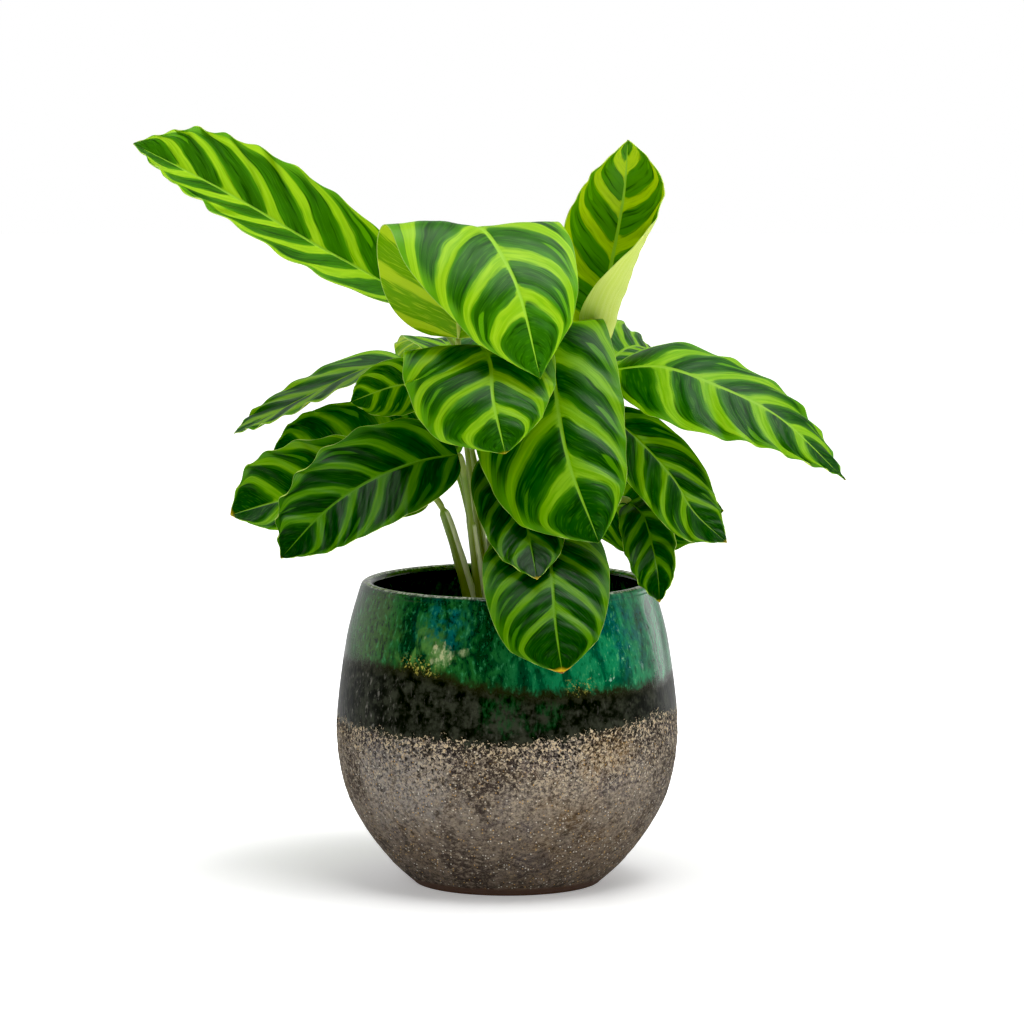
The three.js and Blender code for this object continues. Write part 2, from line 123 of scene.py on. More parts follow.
# %% A helper for materials
class Paint:
    """One material, or the world's light, and the methods that make its nodes."""

    def __init__(self, name, owner=None):
        self.owner = owner or bpy.data.materials.new(name)
        self.owner.use_nodes = True
        self.tree = self.owner.node_tree
        self.skin = self.tree.nodes.get("Principled BSDF")

    def node(self, kind, **settings):
        node = self.tree.nodes.new(kind)
        for name, value in settings.items():
            setattr(node, name, value)
        return node

    def plug(self, socket, value):
        """Links value to socket, or sets it there if it is a plain number or colour."""
        if isinstance(value, Value):
            self.tree.links.new(value.socket, socket)
        elif isinstance(value, tuple) and len(value) == 3 and socket.type == "RGBA":
            socket.default_value = (*value, 1)
        else:
            socket.default_value = value

    def sum(self, operation, a, b):
        node = self.node("ShaderNodeMath", operation=operation)
        self.plug(node.inputs[0], a)
        self.plug(node.inputs[1], b)
        return Value(self, node.outputs[0])

    def split(self, socket):
        """The three numbers of a vector or colour."""
        node = self.node("ShaderNodeSeparateXYZ")
        self.tree.links.new(socket, node.inputs[0])
        return [Value(self, output) for output in node.outputs]

    def place(self, kind="Object"):
        return self.split(self.node("ShaderNodeTexCoord").outputs[kind])

    def attribute(self, name):
        """The three numbers that the mesh carries under this name."""
        return self.split(self.node("ShaderNodeAttribute", attribute_name=name).outputs["Vector"])

    def joined(self, x, y=0.0, z=0.0):
        node = self.node("ShaderNodeCombineXYZ")
        for socket, value in zip(node.inputs, (x, y, z)):
            self.plug(socket, value)
        return Value(self, node.outputs[0])

    def cloud(self, where, scale=1.0, detail=2.0, roughness=0.5, twist=0.0):
        """Soft noise from 0 to 1."""
        node = self.node("ShaderNodeTexNoise")
        for name, value in (("Vector", where), ("Scale", scale), ("Detail", detail),
                            ("Roughness", roughness), ("Distortion", twist)):
            self.plug(node.inputs[name], value)
        return Value(self, node.outputs["Fac"])

    def grains(self, where, scale):
        """The distance to the nearest of many scattered points, and a chance number for that point."""
        node = self.node("ShaderNodeTexVoronoi")
        self.plug(node.inputs["Vector"], where)
        self.plug(node.inputs["Scale"], scale)
        return Value(self, node.outputs["Distance"]), self.split(node.outputs["Color"])[0]

    def chance(self, number):
        """One number from 0 to 1 for each whole number."""
        node = self.node("ShaderNodeTexWhiteNoise", noise_dimensions="1D")
        self.plug(node.inputs["W"], number)
        return Value(self, node.outputs["Value"])

    def blend(self, share, one, other, way="MIX"):
        """The colour one where share is 0 and the colour other where it is 1."""
        node = self.node("ShaderNodeMix", data_type="RGBA", blend_type=way)
        for socket, value in (("Factor", share), (6, one), (7, other)):
            self.plug(node.inputs[socket], value)
        return Value(self, node.outputs[2])

    def shade(self, share, colour, filter_tone):
        """The colour seen through a coloured filter, as much as share says."""
        return self.blend(share, colour, filter_tone, "MULTIPLY")

    def coats(self, ground, *coats):
        """Coats over a ground, one after another. A coat is its share and its colour."""
        for share, colour in coats:
            ground = self.blend(share, ground, colour)
        return ground

    def relief(self, height, depth, strength):
        """Bumps that are too fine for the mesh. depth is in metres for a height of 1."""
        node = self.node("ShaderNodeBump")
        for name, value in (("Height", height), ("Distance", depth), ("Strength", strength)):
            self.plug(node.inputs[name], value)
        self.tree.links.new(node.outputs["Normal"], self.skin.inputs["Normal"])

    def finish(self, **sockets):
        """Sets or links the shader's sockets, such as base_color or roughness."""
        for name, value in sockets.items():
            self.plug(self.skin.inputs[name.replace("_", " ").title().replace("Ior", "IOR")], value)
        return self.owner


def tone(red, green, blue):
    """A colour as a screen shows it, from 0 to 255, as the light that shaders reckon in."""
    shares = [channel / 255 for channel in (red, green, blue)]
    return tuple(s / 12.92 if s <= 0.04045 else ((s + 0.055) / 1.055) ** 2.4 for s in shares)


print("a leaf's dark green as light:", tuple(round(c, 3) for c in tone(14, 72, 0)))

# %% [markdown]
# ## The studio
# A product photograph on white has a bright ground behind the object, a large soft light above it and
# little light from the camera's side. The glaze shows that: its two sides mirror the white ground behind,
# and its front stays dark. So the world is bright behind the plant and dim in front of it. Only what the
# camera sees of it directly is plain white.

# %% Build the studio
scene = bpy.context.scene
BEHIND_LIGHT = 0.55
FRONT_LIGHT = 0.05
WHITE = (1.0, 1.0, 1.0)
BLACK_LEVEL = (0.006, 0.006, 0.006)  # what is shown as black

view = scene.view_settings
view.view_transform = "Standard"
view.use_curve_mapping = True
view.curve_mapping.black_level = BLACK_LEVEL
view.curve_mapping.update()

scene.world = bpy.data.worlds.new("white studio")
sky = Paint("white studio", scene.world)
sky.tree.nodes.clear()
depth = sky.place("Generated")[1]
dim = sky.node("ShaderNodeBackground")
plain = sky.node("ShaderNodeBackground")
either = sky.node("ShaderNodeMixShader")
seen = sky.node("ShaderNodeLightPath")
shown = sky.node("ShaderNodeOutputWorld")
sky.plug(dim.inputs["Strength"], depth.fade(-0.15, 0.45, FRONT_LIGHT, BEHIND_LIGHT))
for background in (dim, plain):
    sky.plug(background.inputs["Color"], WHITE)
for source, target in ((seen.outputs["Is Camera Ray"], either.inputs["Fac"]),
                       (dim.outputs["Background"], either.inputs[1]),
                       (plain.outputs["Background"], either.inputs[2]),
                       (either.outputs["Shader"], shown.inputs["Surface"])):
    sky.tree.links.new(source, target)
print("light from behind and from the front:", BEHIND_LIGHT, FRONT_LIGHT)

# %% [markdown]
# ## The lamps
# Three large area lamps give soft shadows, as softboxes do. The two at the front and at the right only
# lighten the leaves: the glaze mirrors neither of them in the photograph. A white card behind does the
# opposite and is there for the glaze alone, whose right side mirrors it as a band with a sharp border.

# %% Hang the lamps
def softbox(name, place, aim, size, power):
    """A rectangular lamp at place that faces aim."""
    lamp = bpy.data.lights.new(name, "AREA")
    lamp.shape = "RECTANGLE"
    lamp.size, lamp.size_y = size
    lamp.energy = power
    box = bpy.data.objects.new(name, lamp)
    scene.collection.objects.link(box)
    box.location = place
    box.rotation_euler = (Vector(aim) - Vector(place)).to_track_quat("-Z", "Y").to_euler()
    return box


PLANT_MIDDLE = (0, 0, 0.3)
POT_SIDE = (0.1, 0, 0.12)
softbox("top light", (0.3, -0.35, 1.65), PLANT_MIDDLE, (1.2, 1.0), 23)
front = softbox("front light", (-0.9, -2.2, 1.5), PLANT_MIDDLE, (0.9, 0.7), 8)
right = softbox("right light", (1.6, -0.9, 0.9), PLANT_MIDDLE, (0.5, 1.2), 4)
card = softbox("card", (1.5, 1.45, 0.25), POT_SIDE, (0.7, 0.7), 2)
front.visible_glossy = False
right.visible_glossy = False
card.visible_diffuse = False

# %% [markdown]
# ## The ground
# A sheet of white paper. Far off it glows a little, so that it has no horizon, and near the pot it only
# catches the lamps and the pot's shadow. The glaze hardly mirrors it in the photograph, so it is dimmer
# for mirrored light. A compositor could brighten the ground too, but not in other views.

# %% Lay the ground
FLOOR = 6.0  # half its side
NEAR, FAR = 0.08, 0.42
NEAR_GLOW, FAR_GLOW, MIRRORED_GLOW = 0.3, 1.0, 0.12

paper = Paint("white ground")
x, y = paper.place()[:2]
glow = ((x * x + y * y) ** 0.5).fade(NEAR, FAR, NEAR_GLOW, FAR_GLOW)
mirrored = Value(paper, paper.node("ShaderNodeLightPath").outputs["Is Glossy Ray"])
floor_mesh = bpy.data.meshes.new("floor")
floor_mesh.from_pydata([(-FLOOR, -FLOOR, 0), (FLOOR, -FLOOR, 0), (FLOOR, FLOOR, 0), (-FLOOR, FLOOR, 0)],
                       [], [(0, 1, 2, 3)])
floor_mesh.materials.append(paper.finish(
    base_color=(0.92, 0.92, 0.92), roughness=0.7, emission_color=WHITE,
    emission_strength=mirrored.fade(0.0, 1.0, glow, MIRRORED_GLOW)))
floor = bpy.data.objects.new("floor", floor_mesh)
scene.collection.objects.link(floor)
print("ground:", 2 * FLOOR, "m square")

# %% [markdown]
# ## The leaves in numbers
# A calathea sends up one leaf at a time. Each is a stalk that rises from the root and a blade on a curved
# midrib. Here a leaf is a short list of numbers in millimetres: where its stalk leaves the soil, five
# points of the midrib, the widest half width to the left and to the right, how far each half is folded up
# or curled, and the waves of its margin. The plain model was made from the same numbers, so the fine
# blades land exactly on its plain ones.
#
# A pair such as `(34, 35)` is for the left half and the right half, and `left` points to the left side.
# `curl_base` is the curl at the stalk's end, where it isn't the tip's. `scallop` draws the margin in
# between two waves. `lean`, `rise` and `bend` shape the stalk, and `stout` and `sheath` its foot.

# %% The table of leaves
LEAVES = {
    "high_left": dict(
        root=(-6, 18), lean=(-0.1, 0), rise=0.4, bend=0.35, half=(33.5, 37), widest=(0.42, 0.52),
        full=(0.88, 0.95), left=(-0.43, -0.66, -0.62), fold=24, curl=4, waves=9, wave=2.2,
        scallop=(0.6, 2.6),
        midrib=[(-62, 14, 360), (-82, 12, 373), (-121, 6, 395), (-172, -4, 426), (-227, -16, 456)]),
    "top_middle": dict(
        root=(-6, -2), lean=(-0.17, 0), bend=0.12, half=(53, 57), widest=(0.34, 0.4), full=1,
        left=(1, 0.04, 0), fold=(3, 8), curl=(-22, -28), waves=7, wave=1.1,
        midrib=[(-30, 4, 336), (-28, -8, 376), (-18, -36, 407), (5, -72, 376), (20, -92, 320)]),
    "rolled": dict(
        root=(4, 12), lean=(0.08, 0), half=(43, 53), widest=0.36, full=(1, 0.76),
        left=(-1, -0.1, 0.1), fold=(-5, 28), curl=(40, 8), curl_base=(70, 237), waves=8, wave=0.8,
        midrib=[(56, 26, 327), (61, 25, 364), (67, 23, 395), (72, 19, 426), (74, 12, 457)]),
    "middle_left": dict(
        root=(1, -9), lean=(-0.08, -0.03), half=(40, 54), full=0.9, left=(1, 0, 0.05), fold=4,
        curl=-24, waves=7, wave=2,
        midrib=[(-25, -26, 320), (-17, -49, 336), (-10, -71, 327), (-8, -91, 306), (-1, -104, 276)]),
    "middle_front": dict(
        root=(6, 2), half=(40, 56), widest=0.5, full=0.95, left=(0.95, -0.1, 0.3), fold=4,
        curl=(-30, -16), waves=8, wave=2,
        midrib=[(18, 12, 313), (26, -12, 343), (29, -44, 313), (37, -74, 269), (55, -98, 222)]),
    "under_front": dict(
        root=(-2, -20), half=(26, 28), left=(1, 0, 0), fold=6, curl=-10, waves=6, wave=1.5,
        midrib=[(-8, -20, 269), (1, -38, 255), (9, -61, 239), (14, -82, 219), (18, -101, 200)]),
    "over_rim": dict(
        root=(8, -26), half=(35, 42), full=0.85, left=(1, 0, 0), fold=4, curl=-12, waves=7,
        wave=1.2,
        midrib=[(20, -44, 228), (25, -66, 219), (27, -91, 200), (29, -108, 174), (33, -119, 146)]),
    "low_left": dict(
        root=(-12, -17), stout=1.2, lean=(-0.14, -0.1), rise=0.7, bend=0.03, half=(32, 32.5),
        widest=(0.42, 0.45), full=(0.95, 0.85), left=(0.42, -0.25, -0.72), fold=10, curl=4,
        waves=8, wave=1.8, scallop=(0.4, 3),
        midrib=[(-30, -34, 268), (-53, -44, 265), (-82, -56, 255), (-110, -68, 237), (-136, -78, 210)]),
    "low_left_back": dict(
        root=(-16, -6), stout=1.45, sheath=0.85, lean=(-0.27, 0), rise=0.8, bend=0.08,
        half=(24, 35), widest=(0.45, 0.55), full=0.9, left=(0.1, -0.3, -0.95), fold=8, curl=4,
        waves=7, wave=1.8, scallop=(0.5, 2.2),
        midrib=[(-47, -10, 240), (-75, -18, 246), (-105, -26, 245), (-137, -34, 240), (-168, -42, 232)]),
    "mid_left": dict(
        root=(-14, 4), lean=(-0.11, 0), rise=0.75, bend=0.1, half=(24, 28.5),
        left=(0, -0.5, -0.85), fold=6, curl=-4, waves=7, wave=1.8, scallop=(0.5, 2),
        midrib=[(-41, 8, 271), (-66, 10, 272), (-96, 12, 271), (-121, 10, 269), (-146, 8, 263)]),
    "short_left": dict(
        root=(-8, 9), lean=(-0.14, 0.02), rise=0.7, bend=0.1, half=(19, 17),
        left=(0.1, -0.2, -0.97), fold=6, curl=4, waves=5, wave=1.4,
        midrib=[(-42, 8, 308), (-55, 7, 308), (-70, 5, 306), (-83, 2, 302), (-96, -2, 297)]),
    "far_left": dict(
        root=(-15, 16), lean=(-0.08, 0.05), rise=0.6, half=(26, 34), widest=(0.45, 0.42),
        full=(0.75, 1.1), left=(0, -0.97, -0.22), fold=4, curl=0, waves=7, wave=1.8,
        scallop=(0.5, 2),
        midrib=[(-64, 32, 319), (-84, 30, 316), (-104, 26, 308), (-135, 16, 293), (-168, 6, 277)]),
    "back_left": dict(
        root=(-7, 29), lean=(-0.04, 0.05), half=(24, 28), left=(-0.9, -0.45, 0), fold=10, curl=-10,
        waves=6, wave=1.8,
        midrib=[(-26, 48, 304), (-34, 68, 322), (-44, 92, 328), (-52, 114, 320), (-58, 136, 300)]),
    "right": dict(
        root=(15, 5), half=(33, 35.5), widest=0.34, full=(1, 1.5), left=(0.2, 0.7, 0.68), fold=-6,
        curl=(-28, -18), waves=8, wave=1.8, scallop=(1, 1.6),
        midrib=[(65, -20, 319), (94, -38, 322), (127, -54, 312), (164, -70, 294), (203, -84, 258)]),
    "back_right": dict(
        root=(14, 17), lean=(0.22, 0.1), half=(33, 33), left=(-0.5, 0.7, 0.4), fold=8, curl=-8,
        waves=6, wave=1.8,
        midrib=[(60, 36, 310), (68, 52, 321), (79, 72, 325), (91, 93, 320), (101, 112, 308)]),
    "mid_right": dict(
        root=(14, -6), half=(20, 23), left=(0.66, 0.2, 0.66), fold=2, curl=-8, waves=7, wave=2,
        midrib=[(60, -30, 294), (81, -46, 277), (100, -60, 257), (113, -72, 237), (132, -82, 220)]),
    "low_right": dict(
        root=(19, -17), half=(19, 18), full=0.9, left=(0.9, -0.45, 0.2), fold=14, curl=6, waves=6,
        wave=1.6, scallop=1,
        midrib=[(75, -26, 238), (83, -42, 231), (88, -56, 215), (91, -68, 200), (92, -76, 183)]),
    "low_right_back": dict(
        root=(25, -4), half=(24, 32), left=(0, 0.3, 0.95), fold=6, curl=6, waves=6, wave=1.6,
        midrib=[(45, 2, 230), (65, 8, 232), (89, 8, 232), (111, 4, 231), (133, -2, 230)]),
    "rear_middle": dict(
        root=(5, 24), half=(36, 36), left=(-1, 0, 0), fold=6, curl=-14, waves=7, wave=2,
        midrib=[(4, 44, 280), (6, 68, 296), (8, 100, 294), (12, 128, 274), (14, 148, 244)]),
    "rear_low": dict(
        root=(16, 28), half=(30, 30), left=(-1, 0, 0), fold=6, curl=-12, waves=6, wave=1.8,
        midrib=[(16, 48, 230), (20, 70, 240), (23, 94, 233), (25, 114, 214), (26, 130, 190)]),
    "rear_left": dict(
        root=(-17, 27), lean=(-0.04, 0.05), rise=0.7, bend=0.1, half=(34, 34),
        left=(-0.8, -0.6, 0), fold=6, curl=-12, waves=6, wave=1.8,
        midrib=[(-38, 46, 258), (-56, 68, 266), (-76, 90, 258), (-92, 108, 240), (-104, 122, 218)]),
}
print("leaves:", len(LEAVES))

# %% [markdown]
# ## The midrib as a curve
# Five points are joined by a smooth curve through all of them. Blender's own curves could carry the
# blade, but the blade's mesh needs the curve's place and direction at thousands of points, measured by
# length so that the stripes keep an even pace. So the curve is a few lines of arithmetic: four
# neighbouring points give one cubic piece, and a table of lengths turns a share of the whole length into a
# place on it.

# %% A smooth curve through points
def cubic(points, piece):
    """The four numbers of each cubic piece, from the second of four neighbouring points to the third."""
    before, here, there, after = (points[piece + k] for k in range(4))
    leaving = (there - before) / 2
    arriving = (after - here) / 2
    square = 3 * (there - here) - 2 * leaving - arriving
    cube = 2 * (here - there) + leaving + arriving
    return here, leaving, square, cube


class Midrib:
    """A smooth curve through points, in metres, asked by the share of its length."""

    STEPS = 200  # in the table of lengths

    def __init__(self, points):
        inner = np.array(points, float) * MM
        first = 2 * inner[0] - inner[1]
        last = 2 * inner[-1] - inner[-2]
        self.points = np.vstack([first, inner, last])
        self.pieces = len(inner) - 1
        self.times = np.linspace(0, 1, self.STEPS + 1)
        steps = np.diff(self.place(self.times), axis=0)
        self.lengths = np.concatenate([[0], np.cumsum(np.linalg.norm(steps, axis=1))])
        self.length = self.lengths[-1]

    def powers(self, time):
        """The four numbers of the cubic piece at each time, and how far along the piece it is."""
        along = np.clip(np.asarray(time, float), 0, 1) * self.pieces
        piece = np.minimum(along.astype(int), self.pieces - 1)
        return *cubic(self.points, piece), (along - piece)[..., None]

    def place(self, time):
        here, leaving, square, cube, t = self.powers(time)
        return here + t * (leaving + t * (square + t * cube))

    def heading(self, time):
        leaving, square, cube, t = self.powers(time)[1:]
        return unit(leaving + t * (2 * square + 3 * t * cube))

    def time_at(self, share):
        return np.interp(np.asarray(share) * self.length, self.lengths, self.times)


def unit(vectors):
    """Each vector with a length of 1."""
    return vectors / np.maximum(np.linalg.norm(vectors, axis=-1, keepdims=True), 1e-12)


def mix(a, b, share):
    return a + (b - a) * share


ribs = {name: Midrib(leaf["midrib"]) for name, leaf in LEAVES.items()}
for name, rib in ribs.items():
    print(f"{name:15} blade {rib.length / MM:5.0f} mm long")

# %% [markdown]
# ## The form of a blade
# A point of the blade is named by two numbers: `along`, from the stalk to the tip, and `across`, from -1
# at the right margin over 0 at the midrib to 1 at the left margin. Lines of equal `along` sweep towards
# the tip on their way out, just as the side veins of a calathea do, so a stripe is simply a band of
# `along`.
#
# Each half starts at its fold angle, and turns evenly by its curl on the way out, so its section is part
# of a circle and keeps its true width. The margin's waves are added square to that section.

# %% Blade surface
WIDEST = 0.45       # where a blade is widest, as a share of its length
FULLNESS = 1.05     # over 1 is slimmer at both ends
TIP_SHARE = 0.15    # the last part, where the tip closes
TIP_BLUNT = 0.4
BLADE_START = 1.5 * MM
BLADE_TIP = 0.5 * MM
SWEEP = 0.2         # how far a side vein runs towards the tip, as a share of the length
VEIN_BOW = 1.25
WAVE_ENDS = 0.6
WAVE_OUT = 1.6
WAVE_USUAL, WAVE_SPREAD = 0.8, 0.35  # the waves' height, and how much it differs along the margin
WAVE_PACE, WAVE_LAG = 0.37, 2
WAVE_ROUND, WAVE_SHARP = 0.8, 0.12   # the even wave, and a faster one that sharpens its crests
SCALLOP_POINT = 1.5  # how pointed the margin is between two scallops
TINY = 1e-6


def pair(value):
    """The value for the left half and the right half."""
    return value if isinstance(value, tuple) else (value, value)


def half_width(leaf, share, side):
    widest = np.choose(side, pair(leaf.get("widest", WIDEST)))
    full = np.choose(side, pair(leaf.get("full", FULLNESS)))
    rise = np.maximum(share, TINY) / widest
    fall = np.maximum(1 - share, TINY) / (1 - widest)
    point = np.minimum((1 - share) / TIP_SHARE, 1) ** TIP_BLUNT
    form = point * (rise ** widest * fall ** (1 - widest)) ** full
    widths = np.choose(side, pair(leaf["half"])) * MM
    return np.maximum(widths * form, mix(BLADE_START, BLADE_TIP, share))


def blade_surface(name, along, across):
    """The blade's middle sheet at arrays of along and across, in metres."""
    leaf = LEAVES[name]
    rib = ribs[name]
    out = np.abs(across)
    side = (across < 0).astype(int)
    sign = np.where(across < 0, -1.0, 1.0)
    swept = np.clip(along + SWEEP * np.sin(np.pi * along) * out ** VEIN_BOW, 0, 1)
    time = rib.time_at(swept)
    ahead = rib.heading(time)
    left = np.array(leaf["left"], float)
    outwards = unit(left - ahead * (ahead @ left)[..., None])
    up = np.cross(ahead, outwards)
    start = np.radians(np.choose(side, pair(leaf["fold"])))
    curl = np.choose(side, pair(leaf["curl"]))
    curl_base = np.choose(side, pair(leaf.get("curl_base", leaf["curl"])))
    turn = np.radians(mix(curl_base, curl, swept))
    turn = np.where(turn == 0, TINY, turn)
    slope = start + turn * out
    grown = np.sin(np.pi * along) ** WAVE_ENDS * out ** WAVE_OUT
    beat = 2 * np.pi * leaf["waves"] * along
    drawn_in = 1 - ((1 + np.cos(beat)) / 2) ** SCALLOP_POINT
    scallop = np.choose(side, pair(leaf.get("scallop", 0))) * MM
    half = half_width(leaf, swept, side) - scallop * grown * drawn_in
    uneven = WAVE_USUAL + WAVE_SPREAD * np.sin(beat * WAVE_PACE + sign * WAVE_LAG + leaf["midrib"][0][0])
    crests = WAVE_ROUND * np.cos(beat) + WAVE_SHARP * np.cos(2 * beat + 0.5)
    wave = sign * leaf["wave"] * MM * grown * uneven * crests
    reach = half * (np.sin(slope) - np.sin(start)) / turn - wave * np.sin(slope)
    lift = half * (np.cos(start) - np.cos(slope)) / turn + wave * np.cos(slope)
    return rib.place(time) + outwards * (sign * reach)[..., None] + up * lift[..., None]


tips = [blade_surface(name, np.array([1.0]), np.array([0.0]))[0] for name in LEAVES]
print("highest tip:", round(max(tip[2] for tip in tips) / MM), "mm")

# %% [markdown]
# ## Meshes from numbers
# Every fine piece below is worked out as rows of points. Neighbouring rows are joined by quads, either as
# a sheet that ends at both sides, or as a tube that closes on itself. One function then makes the mesh,
# writes the numbers that the paint will read on its points, and lets the piece stand in for the plain one.
# Modifiers could do part of this, but they don't hand such numbers to the paint.

# %% Sheets, tubes and pieces
def sheet_faces(rows, columns, flip=False):
    """The quads of a sheet of points, row after row."""
    first = (np.arange(rows - 1)[:, None] * columns + np.arange(columns - 1)).ravel()
    quads = np.stack([first, first + columns, first + columns + 1, first + 1], axis=1)
    return quads[:, ::-1] if flip else quads


def tube_faces(rows, columns):
    """The quads of a tube whose rows are rings of points."""
    start = np.arange(rows - 1)[:, None] * columns
    first = (start + np.arange(columns)).ravel()
    second = (start + (np.arange(columns) + 1) % columns).ravel()
    return np.stack([first, second, second + columns, first + columns], axis=1)


def sheet_normals(points):
    """The normal at each point of a sheet, along the first axis crossed with the second."""
    down = np.gradient(points, axis=0)
    sideways = np.gradient(points, axis=1)
    return unit(np.cross(down, sideways))


def fine_piece(node, points, faces, materials, marks, face_slots=None, smooth=True):
    """A mesh that stands in for one plain piece. Each mark gives three numbers per point to the paint."""
    mesh = bpy.data.meshes.new("fine_" + node)
    mesh.from_pydata(points.tolist(), [], faces)
    for material in materials:
        mesh.materials.append(material)
    if face_slots is not None:
        mesh.polygons.foreach_set("material_index", face_slots)
    if smooth:
        mesh.shade_smooth()
    for name, numbers in marks.items():
        layer = mesh.attributes.new(name, "FLOAT_VECTOR", "POINT")
        numbers = np.broadcast_to(numbers, (len(points), 3)).astype(np.float32)
        layer.data.foreach_set("vector", numbers.ravel())
    piece = bpy.data.objects.new("fine_" + node, mesh)
    scene.collection.objects.link(piece)
    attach(piece, "root")
    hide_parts(node)
    return piece


print("faces in a tube of 3 rings of 8:", len(tube_faces(3, 8)))

# %% [markdown]
# ## What differs from leaf to leaf
# No two leaves of a plant are striped alike. A large leaf has more stripes, a young one is pale and is
# painted lighter where light shines through it, as painted glow, and an old one is dark, with a dry tip.
# These habits were read off the photograph, leaf by leaf. They could be drawn by chance, but then these
# would not be the leaves of this plant.

# %% The leaves' habits
# How many stripes would fit from end to end, and where on the midrib the last one starts
STRIPES = {"high_left": (6.2, 0.79), "top_middle": (6.0, 0.76), "middle_left": (5.1, 0.76),
           "middle_front": (5.0, 0.735), "low_left": (5.7, 0.73), "right": (5.1, 0.765),
           "mid_right": (5.0, 0.66), "rolled": (5.2, 0.86), "over_rim": (5.8, 0.66),
           "far_left": (3.4, 0.74), "short_left": (4.4, 0.7), "mid_left": (4.2, 0.74),
           "low_left_back": (4.8, 0.72), "low_right": (4.6, 0.66), "under_front": (5.0, 0.7),
           "back_left": (5.0, 0.7)}
USUAL_STRIPES = (6.4, 0.71)
# 0 is a young leaf, pale and whole. 1 is an old one, dark and dry at the tip
AGES = {"high_left": 0.15, "top_middle": 0.1, "rolled": 0, "middle_left": 0.35, "middle_front": 0.55,
        "under_front": 0.95, "over_rim": 0.85, "low_left": 1, "low_left_back": 0.65, "mid_left": 0.4,
        "short_left": 0.3, "far_left": 0.25, "back_left": 0.4, "right": 0.3, "back_right": 0.3,
        "mid_right": 0.65, "low_right": 0.9, "low_right_back": 0.7, "rear_middle": 0.4, "rear_low": 0.9,
        "rear_left": 0.7}
# How far the tip has dried
DRY_TIPS = {"over_rim": 1, "low_right": 0.8, "under_front": 0.7, "low_left_back": 0.6, "low_left": 0.3,
            "mid_right": 0.5, "low_right_back": 0.3, "middle_left": 0.4, "right": 0.25, "rear_low": 0.8}
# How much its stripes lean to the tip where they leave the midrib, if not as much as usual
LEANS = {"top_middle": -0.01, "middle_left": 0.07, "middle_front": 0.06, "right": 0.04, "mid_left": 0.0,
         "far_left": 0.3}
USUAL_LEAN = 0.12
# How much painted glow a young leaf gets: lighter colour for the light that shines through it against the
# bright ground
PAINTED_GLOW = {"rolled": 1, "top_middle": 0.2, "high_left": 0.35, "middle_left": 0.1}
print("youngest leaf:", min(AGES, key=AGES.get), "- oldest:", max(AGES, key=AGES.get))

# %% [markdown]
# ## A fine blade
# The plain blades are 0.8 mm thick and have a few facets per wave. A real blade is a thin skin with a
# channel along the midrib, a round rib below it, and shallow pleats between the side veins. All of that
# is real form that catches the light, so it goes into the mesh: the sheet is worked out on a close grid,
# and the upper and lower face are pushed off it along its normal. Sculpting would do too, but not 21 times
# alike.
#
# Three attributes travel with the mesh for the paint. `leaf_place` says where on the leaf a point is, with
# a chance number for this leaf. `leaf_habit` gives its number of stripes, where the last one is, and its
# age. `leaf_state` says how dry its tip is, how much painted glow it gets for the light shining through it,
# and how its stripes lean.

# %% Fine blades
ROWS = 170
ACROSS_HALF = np.array([0, .012, .024, .04, .06, .09, .13, .18, .235, .29, .345, .4, .455, .51, .565, .62,
                        .675, .73, .78, .83, .875, .915, .945, .97, .986, .994])
ACROSS = np.concatenate([-ACROSS_HALF[:0:-1], ACROSS_HALF])
SHEET = 0.5 * MM
RIB_DEPTH = 1.4 * MM
RIB_HALF = 0.045
CHANNEL = 0.45 * MM
CHANNEL_HALF = 0.03
PLEAT = 0.2 * MM
PLEATS_PER_STRIPE = 3
QUILT = 0.45 * MM    # how far a stripe lies below the sheet, and a dark zone above it
RIPPLES_PER_STRIPE = 2.7


